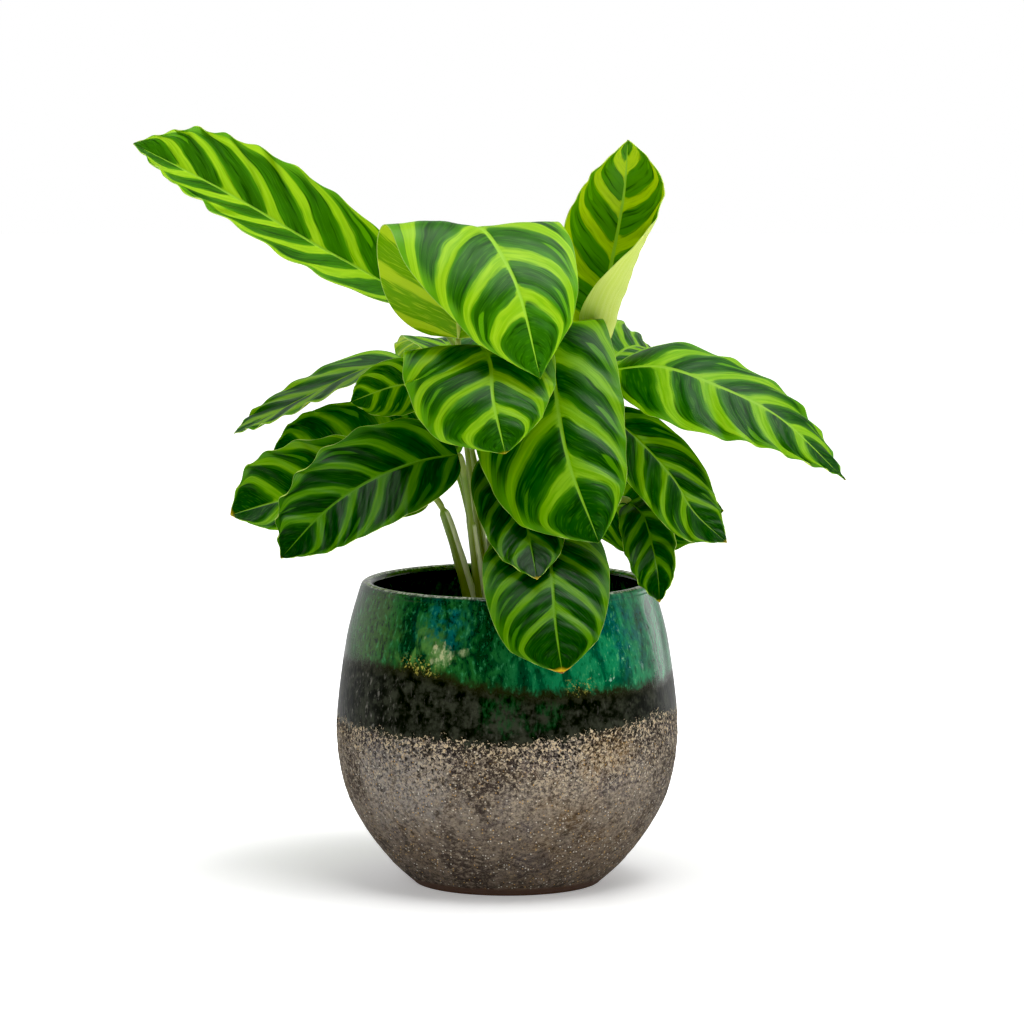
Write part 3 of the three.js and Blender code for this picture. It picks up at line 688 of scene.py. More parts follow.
def fine_blade(name, materials, number):
    chances = np.random.default_rng(number)
    stripes, last_stripe = STRIPES.get(name, USUAL_STRIPES)
    along, across = np.meshgrid(np.linspace(0, 1, ROWS), ACROSS, indexing="ij")
    sheet = blade_surface(name, along, across)
    normal = sheet_normals(sheet)
    out = np.abs(across)
    ends = np.sin(np.pi * along) ** 0.5
    pleat = PLEAT * ends * np.sin(np.pi * np.minimum(out / 0.9, 1)) ** 0.5
    pleat = pleat * np.cos(2 * np.pi * PLEATS_PER_STRIPE * stripes * along + (across < 0) * np.pi)
    quilt = QUILT * ends * np.sin(np.pi * np.minimum(out / 0.97, 1)) ** 0.7
    quilt = quilt * np.cos(2 * np.pi * (along - last_stripe) * stripes)
    ripple = chances.uniform(0.3, 0.6) * PLEAT * out ** 3 * ends
    beat = stripes * RIPPLES_PER_STRIPE * along + chances.uniform() + 0.4 * (across < 0)
    ripple = ripple * np.sin(2 * np.pi * beat)
    channel = CHANNEL * np.exp(-(out / CHANNEL_HALF) ** 2) * (1 - 0.6 * along)
    centre = sheet + normal * (pleat - quilt + ripple - channel)[..., None]
    keel = RIB_DEPTH * (1 - 0.95 * along) * np.sqrt(np.maximum(1 - (out / RIB_HALF) ** 2, 0))
    upper = centre + normal * (SHEET / 2)
    lower = centre - normal * (SHEET / 2 + keel)[..., None]

    rows, columns = along.shape
    count = rows * columns
    points = np.vstack([upper.reshape(-1, 3), lower.reshape(-1, 3)])
    top = sheet_faces(rows, columns)
    bottom = sheet_faces(rows, columns, flip=True) + count
    margin = np.concatenate([
        np.arange(columns), columns - 1 + columns * np.arange(1, rows),
        count - 2 - np.arange(columns - 1), columns * np.arange(rows - 2, 0, -1)])
    after = np.roll(margin, -1)
    edge = np.stack([margin, after, after + count, margin + count], axis=1)
    faces = np.vstack([top, bottom, edge]).tolist()
    face_slots = np.repeat([0, 1], [len(top), len(bottom) + len(edge)])
    place = np.stack([along, across, np.full_like(along, chances.uniform())], axis=-1).reshape(-1, 3)
    marks = {"leaf_place": np.vstack([place, place]),
             "leaf_habit": (stripes, last_stripe, AGES[name]),
             "leaf_state": (DRY_TIPS.get(name, 0), PAINTED_GLOW.get(name, 0), LEANS.get(name, USUAL_LEAN))}
    return fine_piece("blade_" + name, points, faces, materials, marks, face_slots)

# %% [markdown]
# ## The zebra stripes
# On the upper side, dark green zones lie between narrow lime stripes that follow the side veins. A stripe
# opens like a funnel at the midrib and flares into a light band along the margin, so that the dark zones
# end round there. The tip stays dark. Short light wedges run in from the margin between some stripes.
#
# A picture of a leaf could be wrapped on the blade, but it would stretch where the blade is narrow. Sums of
# `leaf_place` follow the veins on every blade, and a count of whole stripes gives each its own chances.

# %% Stripes
UNDER_LEAN = 0.06      # below, the stripes run straighter to the margin
UNDER_STRIPES = 1.7    # and there are so many times as many of them
ROLLED_LEAN = 1.6      # and the rolled leaf has them lengthwise
MARGIN_BOW = 0.12      # how much a stripe bends just before the margin
STRIPE_WIDTH = 0.3     # of the way from one stripe to the next
FINE_VEINS = 11        # per stripe
LAST = 20.5            # the count of stripes in the middle of the last one
DRY_YELLOW = tone(206, 176, 30)
DRY_BROWN = tone(120, 66, 30)
EDGE_LINE = tone(184, 208, 112)


def stripes_of(paint, under_lean=None):
    """The numbers that a leaf is painted with. Its under side has a lean of its own."""
    along, across, chance = paint.attribute("leaf_place")
    stripes, last, age = paint.attribute("leaf_habit")
    dryness, glow, lean = paint.attribute("leaf_state")
    out = across.size()
    side = paint.sum("SIGN", across, 0.0)
    where = paint.joined(*paint.place())
    wander = paint.cloud(where, 30, 2) - 0.5
    if under_lean is None:
        bow = (out - out ** 2.0 * 0.5) * lean + out ** 7.0 * MARGIN_BOW
    else:
        bow = out * under_lean
        stripes = stripes * UNDER_STRIPES
    phase = (along - bow - last) * stripes + LAST + side * 0.07 + wander * 0.34
    veins = paint.cloud(paint.joined(phase * FINE_VEINS, out * 1.6 + chance * 30.0, side), 1.0, 1.5)
    threads = paint.cloud(paint.joined(phase * FINE_VEINS * 2.4, out * 4.0 + chance * 50.0, side), 1.0, 1.0)
    soft = (veins - 0.5) * 0.22 + (threads - 0.5) * 0.16
    from_stripe = (phase.rest() - 0.5).size() * 2.0
    own = paint.chance(phase.whole() + side * 31.0 + chance * 40.0)
    width = STRIPE_WIDTH - age * 0.05 + (own - 0.5) * 0.1 + out.fade(0.12, 0.0) ** 2.0 * 0.2
    width = width + out.fade(0.75, 0.97) * 0.15 - (phase - LAST).fade(0.45, 0.5) * 2.0
    light = (width - from_stripe + soft).fade(-0.09, 0.07)
    halo = (width - from_stripe + soft).fade(-0.5, 0.0)
    pick = paint.chance((phase + 0.5).whole() + side * 57.0 + chance * 90.0)
    blob = out.fade(0.5, 0.7) * (0.02 + pick * 0.2) * out.fade(0.98, 0.8)
    blob = (from_stripe + blob + soft * 0.4).fade(1.0, 1.06)
    blob = blob * (phase - LAST).fade(0.3, 0.2) * pick.fade(0.5, 0.54)
    rim = (out + along * 0.08 + soft * 0.4 + wander * 0.1).fade(0.84, 0.99)
    return dict(along=along, out=out, where=where, veins=veins, threads=threads, light=light, halo=halo,
                blob=blob, rim=rim, age=age, dryness=dryness, glow=glow)


def dried(paint, leaf, colour):
    """Dries the tip: a yellow edge first, then brown at the very point."""
    patch = paint.cloud(leaf["where"], 120, 3) - 0.5
    reach = leaf["along"] + leaf["out"] ** 6.0 * leaf["dryness"] * 0.07 + patch * 0.03
    yellow = (reach + leaf["dryness"] * 0.035).fade(0.995, 1.03)
    brown = (reach + leaf["dryness"] * 0.02).fade(1.01, 1.024)
    return paint.coats(colour, (yellow, DRY_YELLOW), (brown, DRY_BROWN))


print("a stripe's place is counted from", LAST, "at the last one down to the stalk")

# %% [markdown]
# ## Upper side and under side
# The upper side is laid on in coats, from the dark green over the veins and the light stripes to the rib.
# The lower side is paler and duller, with the stripes showing through. Both let a little light sink in, as
# a leaf does, and the fine veins are bumps, because they are too thin for the mesh. Each side could be
# painted by brush on its own picture, but then 21 leaves would need 21 pictures.

# %% Leaf paint
DARK_GREEN = tone(14, 72, 0)
DEEP_GREEN = tone(30, 96, 2)
MID_GREEN = tone(74, 144, 8)
GLOW_GREEN = tone(84, 148, 14)
GLOW_LIME = tone(188, 214, 24)
VEIN_GREEN = tone(6, 48, 0)
BLOB_GREEN = tone(98, 166, 12)
LIME = tone(122, 180, 6)
PALE_LIME = tone(152, 200, 34)
RIB_GREEN = tone(150, 200, 50)
UNDER_RIB = tone(186, 204, 90)
MARGIN_GREEN = tone(98, 164, 18)
OLD_SHADE = tone(128, 156, 104)  # what an old leaf keeps of each colour
VEIN_DEPTH = 0.5 * MM
LIGHT_SINKS = 2 * MM


def upper_leaf():
    paint = Paint("leaf upper side")
    leaf = stripes_of(paint)
    out, glow, veins, threads = (leaf[key] for key in ("out", "glow", "veins", "threads"))
    patches = paint.cloud(leaf["where"], 22, 3)
    # glow is painted light: a young leaf's stripes and dark zones are painted lighter for the light shining
    # through it
    light = paint.blend(veins.fade(0.3, 0.7), LIME, PALE_LIME)
    light = paint.coats(light, (glow * 0.7, GLOW_LIME), (threads.fade(0.5, 0.3) * 0.35, BLOB_GREEN))
    colour = paint.coats(
        DARK_GREEN,
        (patches.fade(0.35, 0.7), DEEP_GREEN),
        (glow * 0.8, GLOW_GREEN),
        (leaf["halo"] ** 1.6 * 0.75, MID_GREEN),
        (veins.fade(0.5, 0.3) * 0.75, VEIN_GREEN),
        (threads.fade(0.52, 0.68) * 0.35, MID_GREEN),
        (leaf["blob"] * 0.8, BLOB_GREEN),
        (leaf["rim"] * 0.8, MARGIN_GREEN),
        (leaf["light"], light),
        ((0.03 - leaf["along"] * 0.014 - out).fade(-0.01, 0.006), RIB_GREEN))
    colour = dried(paint, leaf, paint.shade(leaf["age"], colour, OLD_SHADE))
    colour = paint.blend(out.fade(0.984, 0.995) * 0.55, colour, EDGE_LINE)
    gloss = 0.42 + (paint.cloud(leaf["where"], 60, 2) - 0.5) * 0.14 + leaf["light"] * 0.05
    paint.relief(veins * 0.6 + threads * 0.25 + paint.cloud(leaf["where"], 900, 2) * 0.15, VEIN_DEPTH, 0.7)
    return paint.finish(base_color=colour, roughness=gloss, subsurface_weight=0.12,
                        subsurface_scale=LIGHT_SINKS, subsurface_radius=(0.7, 1.0, 0.1),
                        specular_ior_level=0.17)


def under_leaf(name, lean, dull, clear, stripe_tone, showing):
    """A ground from dull to clear green, with the stripes showing through as much as showing says."""
    paint = Paint(name)
    leaf = stripes_of(paint, lean)
    out, veins, threads = leaf["out"], leaf["veins"], leaf["threads"]
    patches = paint.cloud(leaf["where"], 30, 3)
    colour = paint.coats(
        dull,
        (patches, clear),
        (veins.fade(0.5, 0.3) * 0.4, dull),
        (leaf["light"] * showing, stripe_tone),
        (threads.fade(0.5, 0.7) * 0.6, stripe_tone),
        (out.fade(0.05, 0.035), UNDER_RIB))
    colour = paint.blend(out.fade(0.986, 0.996) * 0.8, dried(paint, leaf, colour), EDGE_LINE)
    paint.relief(veins * 0.6 + threads * 0.3 + paint.cloud(leaf["where"], 900, 2) * 0.1, VEIN_DEPTH, 0.7)
    return paint.finish(base_color=colour, roughness=0.5 + (patches - 0.5) * 0.15, subsurface_weight=0.2,
                        subsurface_scale=LIGHT_SINKS, subsurface_radius=(0.8, 1.0, 0.1),
                        specular_ior_level=0.2)


upper_side = upper_leaf()
under_side = under_leaf("leaf under side", UNDER_LEAN, tone(92, 150, 8), tone(124, 176, 14),
                        tone(184, 212, 40), 0.9)
young_side = under_leaf("young leaf under side", ROLLED_LEAN, tone(194, 217, 80), tone(212, 229, 108),
                        tone(222, 236, 140), 0.15)
blades = {}
for number, name in enumerate(LEAVES):
    below = young_side if name == "rolled" else under_side
    blades[name] = fine_blade(name, [upper_side, below], number)
print("faces in the blades:", sum(len(blade.data.polygons) for blade in blades.values()))

# %% [markdown]
# ## Stalks
# A stalk is a pale sheath that wraps its neighbours at the foot, then a thin round petiole, and just under
# the blade a knee, a slightly swollen joint that turns the blade to the light. Its path is one bent curve
# from the soil to the blade, leaning out of the clump first and turning into the midrib at its end. The
# curve could be drawn in the viewport, but here it follows when a leaf is moved.

# %% The path of a stalk
SOIL_TOP = 153 * MM
JOIN_GAP = 0.3 * MM
STALK_LEAN, STALK_RISE, STALK_BEND = 0.4, 0.45, 0.25


def stalk_path(name, shares):
    """Points of the stalk above the soil at shares of its length."""
    leaf = LEAVES[name]
    rib = ribs[name]
    ground = np.array([*leaf["root"], SOIL_TOP / MM]) * MM
    into_blade = rib.heading(0.0)
    end = rib.place(0.0) - into_blade * JOIN_GAP
    straight = unit(end - ground)
    lean = leaf.get("lean", tuple(STALK_LEAN * straight[:2]))
    outwards = unit(np.array([*lean, 1.0]))
    reach = np.linalg.norm(end - ground)
    corners = [ground, ground + outwards * reach * leaf.get("rise", STALK_RISE),
               end - into_blade * reach * leaf.get("bend", STALK_BEND), end]
    t = np.linspace(0, 1, 400)[:, None]
    curve = sum(weight * corner for weight, corner in zip(
        ((1 - t) ** 3, 3 * t * (1 - t) ** 2, 3 * t ** 2 * (1 - t), t ** 3), corners))
    lengths = np.concatenate([[0], np.cumsum(np.linalg.norm(np.diff(curve, axis=0), axis=1))])
    at = np.asarray(shares) * lengths[-1]
    return np.stack([np.interp(at, lengths, curve[:, k]) for k in range(3)], axis=1)


middles = {name: stalk_path(name, [0.5])[0] for name in LEAVES}
print("stalk with the highest middle:", max(middles, key=lambda name: middles[name][2]))

# %% [markdown]
# ## The section of a stalk
# A Blender curve with a bevel would give a plain tube. The real section changes from a broad crescent,
# folded round a groove, to a slim round stem, so the mesh is made ring by ring. Beside the groove the
# sheath's thin edge lies over as a lip, and fine ridges run along the sheath. Two attributes travel along:
# how far up and how far round a point is, and the stalk's colour, chance number and length of sheath.

# %% Fine stalks
STALK_DEPTH = 30 * MM
SHEATH_RADIUS = 3.6 * MM
SHEATH_END_RADIUS = 2.3 * MM
SHEATH_SHARE = 0.6
PETIOLE_RADIUS = 1.7 * MM
KNEE_RADIUS = 2.1 * MM
KNEE_FROM, KNEE_TO = 0.88, 0.99
STALK_RINGS, RINGS_IN_SOIL, STALK_ROUND = 90, 5, 22
# Shares of the radius
GROOVE, SHEATH_GROOVE = 0.1, 0.22
LIP_THICK, RIDGE, WOBBLE, FLATTER = 0.10, 0.025, 0.03, 0.12
# Angles round the stalk
GROOVE_HALF, LIP_AT, LIP_HALF = 0.3, 0.62, 0.22
FLAPS = {"low_left_back": -1.95, "low_left": -1.5}    # where these sheaths lie over
# 0 is a green stalk and 1 a wine brown one
STALK_HUES = {"middle_front": 0.9, "mid_right": 1.0, "low_right": 0.9, "low_left": 0.1, "under_front": 0.0,
              "middle_left": 0.1, "over_rim": 0.8, "right": 0.5}
USUAL_HUE = 0.15


def stalk_radius(share, leaf):
    stout = leaf.get("stout", 1)
    sheath = leaf.get("sheath", SHEATH_SHARE)
    shares = [0, sheath, sheath + 0.03, KNEE_FROM, KNEE_FROM + 0.02, KNEE_TO - 0.02, 1]
    return np.interp(share, shares, [stout * SHEATH_RADIUS, stout * SHEATH_END_RADIUS, PETIOLE_RADIUS,
                                     PETIOLE_RADIUS, KNEE_RADIUS, KNEE_RADIUS, PETIOLE_RADIUS])


def fine_stalk(name, material, number):
    leaf = LEAVES[name]
    chances = np.random.default_rng(100 + number)
    shares = np.linspace(0, 1, STALK_RINGS)
    above = stalk_path(name, shares)
    below = above[0] - np.outer(np.linspace(1, 0.2, RINGS_IN_SOIL), [0, 0, STALK_DEPTH * 0.9])
    path = np.vstack([below, above])
    share = np.concatenate([np.zeros(len(below)), shares])
    ahead = unit(np.gradient(path, axis=0))
    spin = chances.uniform(-0.6, 0.6)
    side = np.array([math.cos(spin), math.sin(spin), 0.0])
    across = unit(side - ahead * (ahead @ side)[:, None])
    front = np.cross(ahead, across)
    turn = np.linspace(0, 2 * np.pi, STALK_ROUND, endpoint=False)
    sheath_share = leaf.get("sheath", SHEATH_SHARE)
    sheath = np.clip((sheath_share - share) / 0.12, 0, 1)
    groove_at = FLAPS.get(name, chances.uniform(-2.2, -0.9))
    away = np.abs((turn - groove_at + np.pi) % (2 * np.pi) - np.pi)
    groove = np.exp(-(away / GROOVE_HALF) ** 2)[None, :] * (GROOVE + SHEATH_GROOVE * sheath)[:, None]
    lip = np.exp(-((away - LIP_AT) / LIP_HALF) ** 2)[None, :] * (LIP_THICK * sheath)[:, None]
    ridges = RIDGE * np.cos(9 * turn)[None, :] * sheath[:, None]
    wobble = WOBBLE * np.sin(share * 26 + chances.uniform() * 6)[:, None]
    radius = stalk_radius(share, leaf)[:, None] * (0.98 - groove + lip + ridges + wobble)
    flatness = 1 - FLATTER * sheath[:, None]
    points = (path[:, None, :] + across[:, None, :] * (radius * np.cos(turn))[..., None]
              + front[:, None, :] * (radius * flatness * np.sin(turn))[..., None])

    count = radius.size
    ring = np.arange(STALK_ROUND)
    faces = tube_faces(len(path), STALK_ROUND).tolist()
    for end_ring, middle in ((ring[::-1], count), (count - STALK_ROUND + ring, count + 1)):
        middles = np.full(STALK_ROUND, middle)
        faces.extend(np.stack([end_ring, np.roll(end_ring, -1), middles], axis=1).tolist())
    place = np.zeros((*radius.shape, 3))
    place[..., 0] = share[:, None]
    place[..., 1] = (turn - groove_at) % (2 * np.pi)
    marks = {"stalk_place": np.vstack([place.reshape(-1, 3), [[0, 0, 0], [1, 0, 0]]]),
             "stalk_habit": (STALK_HUES.get(name, USUAL_HUE), chances.uniform(), sheath_share)}
    all_points = np.vstack([points.reshape(-1, 3), path[:1], path[-1:]])
    return fine_piece("stalk_" + name, all_points, faces, [material], marks)


print("rings of a stalk:", STALK_RINGS + RINGS_IN_SOIL)

# %% [markdown]
# ## Stalk colours
# The sheaths are olive green with a pale cream flap beside the groove, where the sheath's thin edge lies
# over. Some are flushed dark wine brown at the foot. Higher up the petiole is plain olive green, and the
# knee is yellower. One number per stalk chooses between green and wine, so one material paints them all.
# A material for each stalk would work too, but every change would have to be made many times.

# %% Stalk paint
def stalk_skin():
    paint = Paint("stalk")
    share, turned = paint.attribute("stalk_place")[:2]
    wine, chance, sheath = paint.attribute("stalk_habit")
    x, y, z = paint.place()
    where = paint.joined(x, y, z)
    lines = paint.cloud(paint.joined(turned * 4.0 + chance * 20.0, share * 3.0), 1.0, 3)
    streaks = paint.cloud(paint.joined(x * 900.0, y * 900.0, z * 25.0), 1.0, 2)
    blotches = paint.cloud(where, 70, 3)
    flushed = paint.blend(blotches, tone(40, 20, 18), tone(86, 48, 34))
    flush = (wine + (blotches - 0.5) * 0.6 - share * 0.9).fade(0.3, 0.7)
    cream = paint.blend(streaks, tone(206, 214, 150), tone(240, 242, 206))
    flap = (turned + (streaks - 0.5) * 0.4).fade(0.05, 0.25) * turned.fade(2.4, 2.0)
    flap = flap * (share - sheath).fade(0.02, 0.0)
    colour = paint.coats(
        paint.blend(lines, tone(96, 120, 28), tone(154, 168, 70)),
        (share.fade(0.5, 0.9), tone(122, 152, 50)),
        (flush, flushed),
        (flap * (1.0 - wine * 0.75), cream),
        (share.fade(0.86, 0.9) * 0.7, tone(156, 170, 76)))
    paint.relief(streaks * 0.7 + paint.cloud(where, 1500, 2) * 0.3, 0.25 * MM, 0.6)
    return paint.finish(base_color=colour, roughness=0.42 + (blotches - 0.5) * 0.2, subsurface_weight=0.1,
                        subsurface_scale=1.5 * MM, subsurface_radius=(0.8, 1.0, 0.3))


stalk_material = stalk_skin()
stalks = [fine_stalk(name, stalk_material, number) for number, name in enumerate(LEAVES)]
print("stalks:", len(stalks))

# %% [markdown]
# ## The pot's profile
# The pot was turned on a wheel, so its form is one profile spun round the axis: a narrow foot, a round
# belly, a shoulder that draws in and a plain rounded lip. Blender's Screw modifier spins a profile too,
# but the glaze needs to lie thicker on some sides than on others. So the rings are made in code, and each
# point is then pushed out a little.

# %% Profile
# In mm, as a radius and a height. A round stretch has its middle and its own radius
FOOT_MIDDLE, FOOT_ROUND = 56.3, 2.0
LIP_MIDDLE, LIP_HEIGHT, LIP_ROUND = 86.0, 183.0, 4.0
WALL = 8.0
POT_FLOOR, FLOOR_ROUND = 10.0, 6.0
POLYGON_OUT = 12.0    # one polygon closes each flat face in the middle
BASE_OUT = 54.0
OUTSIDE = [(57, 0), (73, 15), (90, 38), (101, 63), (105, 98), (99, 150), (90, 184)]


def through(points, steps):
    """A smooth line through points, with steps rows in all."""
    corners = np.array([points[0], *points, points[-1]], float)
    along = np.linspace(0, len(points) - 1, steps)
    piece = np.minimum(along.astype(int), len(points) - 2)
    t = (along - piece)[:, None]
    here, leaving, square, cube = cubic(corners, piece)
    return here + t * (leaving + t * (square + t * cube))


def arc(radius, height, size, start, end, steps):
    turn = np.linspace(start, end, steps)
    return np.stack([radius + size * np.cos(turn), height + size * np.sin(turn)], axis=1)


def level_line(start, end, height, steps):
    return np.stack([np.linspace(start, end, steps), np.full(steps, height)], axis=1)


base = level_line(POLYGON_OUT, BASE_OUT, 0, 6)
foot = arc(FOOT_MIDDLE, FOOT_ROUND, FOOT_ROUND, -np.pi / 2, -0.35, 6)
outer = through(OUTSIDE, 190)
outer = outer[(outer[:, 1] > FOOT_ROUND) & (outer[:, 1] < LIP_HEIGHT)]
lip = arc(LIP_MIDDLE, LIP_HEIGHT, LIP_ROUND, 0, np.pi, 15)
inner = outer[::-4] - (WALL, 0)
inner = inner[inner[:, 1] > POT_FLOOR + FLOOR_ROUND]
corner = arc(inner[-1, 0] - FLOOR_ROUND, POT_FLOOR + FLOOR_ROUND, FLOOR_ROUND, 0, -np.pi / 2, 6)
inside_floor = level_line(corner[-1, 0] - 8, POLYGON_OUT, POT_FLOOR, 5)
profile = np.vstack([base, foot, outer, lip, inner, corner, inside_floor])
print("profile rows:", len(profile), "widest:", round(profile[:, 0].max(), 1), "mm")

# %% [markdown]
# ## Where the glaze ends
# The shiny glaze was poured over the upper part and ran down in the kiln. It stops in a thick rounded edge
# that dips and rises round the belly. Above it a green glaze fades into black at a second, softer line.
# Both lines are given as heights at a few angles, counted from the camera's side towards the right, and a
# little noise makes them uneven. They could be painted on by hand, but the mesh and the paint both need
# them.

# %% The two lines
GLAZE_EDGE = [(-180, 104), (-130, 107), (-90, 104.5), (-53, 102.5), (-15, 101), (3, 98.5), (20, 103),
              (33, 106), (57, 110), (95, 108), (140, 101), (180, 104)]
GREEN_EDGE = [(-180, 138), (-120, 138), (-80, 143), (-46, 145), (-32, 146), (-17, 139), (0, 133),
              (19, 131.5), (35, 131), (61, 130), (90, 134), (140, 139), (180, 138)]
GLAZE_WOBBLE, GREEN_WOBBLE = 1.6, 1.4
POT_ROUND = 480


def rough_noise(points, size, seed=0.0, octaves=1):
    """Noise from -1 to 1 at points in mm, in lumps of about size."""
    total = np.zeros(len(points))
    for octave in range(octaves):
        pace = 2 ** octave / size
        values = [noise.noise((x * pace + seed, y * pace, z * pace)) for x, y, z in points.tolist()]
        total += np.array(values) / 2 ** octave
    return total


def edge_heights(table, angles, wobble, seed):
    """The height of a glaze line, in mm, at angles in degrees."""
    knots, heights = zip(*table)
    spread = np.linspace(-9, 9, 7)
    turned = (angles[:, None] + spread + 180) % 360 - 180
    line = np.interp(turned, knots, heights).mean(axis=1)
    around = np.radians(angles)
    circle = 100 * np.stack([np.sin(around), -np.cos(around), np.zeros_like(around)], axis=1)
    return line + wobble * (rough_noise(circle, 22, seed) + 0.6 * rough_noise(circle, 7, seed + 9))


angles = np.arange(POT_ROUND) * 360 / POT_ROUND - 180
glaze_line = edge_heights(GLAZE_EDGE, angles, GLAZE_WOBBLE, 3.0)
green_line = edge_heights(GREEN_EDGE, angles, GREEN_WOBBLE, 31.0)
print("the glaze ends between", round(glaze_line.min()), "and", round(glaze_line.max()), "mm")

# %% [markdown]
# ## The pot's surface
# Above its edge the glaze lies smooth, a quarter of a millimetre thick, with a rounded roll at the edge.
# Below it the clay is rough: grains of grog stand out, with a few beads of black glaze among them. All of
# that is real form here, so that it also shows against the light. A displacement in the material could
# do the same, but then the mesh itself would stay smooth.

# %% Pot mesh
GLAZE_THICK, EDGE_ROLL, GLAZE_FLOW = 0.25, 0.08, 0.12
CLAY_ROUGH, ROUGHER_BELOW_EDGE, BEADS_THICK = 0.25, 0.3, 0.4


def soft_step(value, low, high):
    share = np.clip((value - low) / (high - low), 0, 1)
    return share * share * (3 - 2 * share)


rows, columns = len(profile), POT_ROUND
radius = np.repeat(profile[:, 0], columns)
height = np.repeat(profile[:, 1], columns)
turned = np.tile(np.radians(angles), rows)
row = np.repeat(np.arange(rows), columns)
around = np.stack([np.sin(turned), -np.cos(turned), np.zeros_like(turned)], axis=1)
shell = np.stack([radius * np.sin(turned), -radius * np.cos(turned), height], axis=1)
half_lip = len(lip) // 2
is_outside = (row >= len(base)) & (row < len(base) + len(foot) + len(outer) + half_lip)
above_glaze = height - np.tile(glaze_line, rows)
above_green = height - np.tile(green_line, rows)
grog = rough_noise(shell, 3.6, 1.0, 2)
beads = soft_step(rough_noise(shell, 5.5, 50.0, 2), 0.28, 0.5) * soft_step(above_glaze, -16, -2)
beads = beads * (above_glaze < 1.5)
flow = rough_noise(shell * (1, 1, 0.4), 30, 80.0, 2)
in_glaze = soft_step(above_glaze, -0.6, 1.0)
edge_roll = np.exp(-((above_glaze - 2.2) / 2.4) ** 2)
smooth = GLAZE_THICK + EDGE_ROLL * edge_roll + GLAZE_FLOW * flow
coarse = CLAY_ROUGH + ROUGHER_BELOW_EDGE * soft_step(above_glaze, -40, -4)
rough = soft_step(height, 6, 14) * coarse * grog + BEADS_THICK * beads
push = in_glaze * smooth + (1 - in_glaze) * rough
push = np.where(is_outside, push * soft_step(height, 1, 8), 0)
pot_points = (shell + around * push[:, None]) * MM
pot_faces = tube_faces(rows, columns).tolist()
pot_faces.append(tuple(range(columns))[::-1])
pot_faces.append(tuple(range((rows - 1) * columns, rows * columns)))
print("pot points:", len(pot_points), "pushed out at most", round(push.max(), 2), "mm")

# %% [markdown]
# ## Patterns on the pot
# One material paints the whole pot, because the glazes run into each other. The mesh tells it how far each
# point is above the edge of the glaze and above the green line. Its patterns are noises of several sizes,
# and the runs and flecks of the glaze are drawn out downwards, the way it ran. A few single spots have a
# place of their own, as a potter would dab them on. A photograph could be wrapped round the pot instead,
# but it would show its own lamps and shadows from every side.

# %% Pot patterns
ware = Paint("stoneware")
above, green, bead = ware.attribute("glaze_place")
x, y, z = ware.place()
where = ware.joined(x, y, z)
drawn = ware.joined(x, y, z * 0.45)  # whatever is painted in it is drawn out downwards
runs = ware.cloud(drawn, 85, 3, 0.6, 0.6)
flecks = ware.cloud(drawn, 430, 3, 0.65)
glints = ware.cloud(where, 620, 3, 0.7)
clouds = ware.cloud(where, 26, 3)
small = ware.cloud(where, 150, 4, 0.65)
sandy = ware.cloud(where, 15, 3)
crust = ware.cloud(where, 520, 3, 0.65, 0.8)
scuffs = ware.cloud(ware.joined(x, y, z * 1.6), 300, 4, 0.72)
grain, pick = ware.grains(where, 620)


def near(place, size, ragged=0.5):
    """1 at a place given in mm, fading out at size, with a ragged border."""
    node = ware.node("ShaderNodeVectorMath", operation="DISTANCE")
    ware.plug(node.inputs[0], where)
    node.inputs[1].default_value = [c * MM for c in place]
    far = Value(ware, node.outputs["Value"]) * (1 / (size * MM))
    return (far + (runs + small - 1.0) * ragged * 2.0).fade(1.0, 0.45)


print("nodes for the pot's patterns:", len(ware.tree.nodes))

# %% [markdown]
# ## Glaze
# The lower glaze is black, speckled with grey and with a green stain or two. The grey speckles are stronger
# on the left, where they are a painted highlight. The upper one is mossy green on the left and sea green on
# the right, and is painted brighter on the right as painted light, with teal patches, bright flecks, and
# pale blotches and a drip where the glaze broke. A little gold lies along the line between the two. The
# crest of the lip is painted pale, partly worn glaze and partly a painted highlight, and the inside is
# painted dark as painted shade. Each is a coat laid over the last one, in a potter's order. They could also
# be many materials with masks, but one list of coats is easier to read.

# %% The pot's glaze
# grey speckles all round, stronger on the left, where they are a painted highlight of the glaze's sheen
left_painted_highlight = near((-92, -40, 125), 62, 0.3)
stain = near((-2, -100, 119), 17, 0.9).at_least(near((26, -96, 121), 12, 0.9))
black = ware.coats(
    tone(8, 12, 5),
    (small.fade(0.4, 0.66), tone(50, 53, 42)),
    (flecks.fade(0.56, 0.7) * (left_painted_highlight * 0.6 + 0.15), tone(112, 110, 102)),
    (stain * flecks.fade(0.4, 0.6) * 0.6, tone(20, 68, 30)))
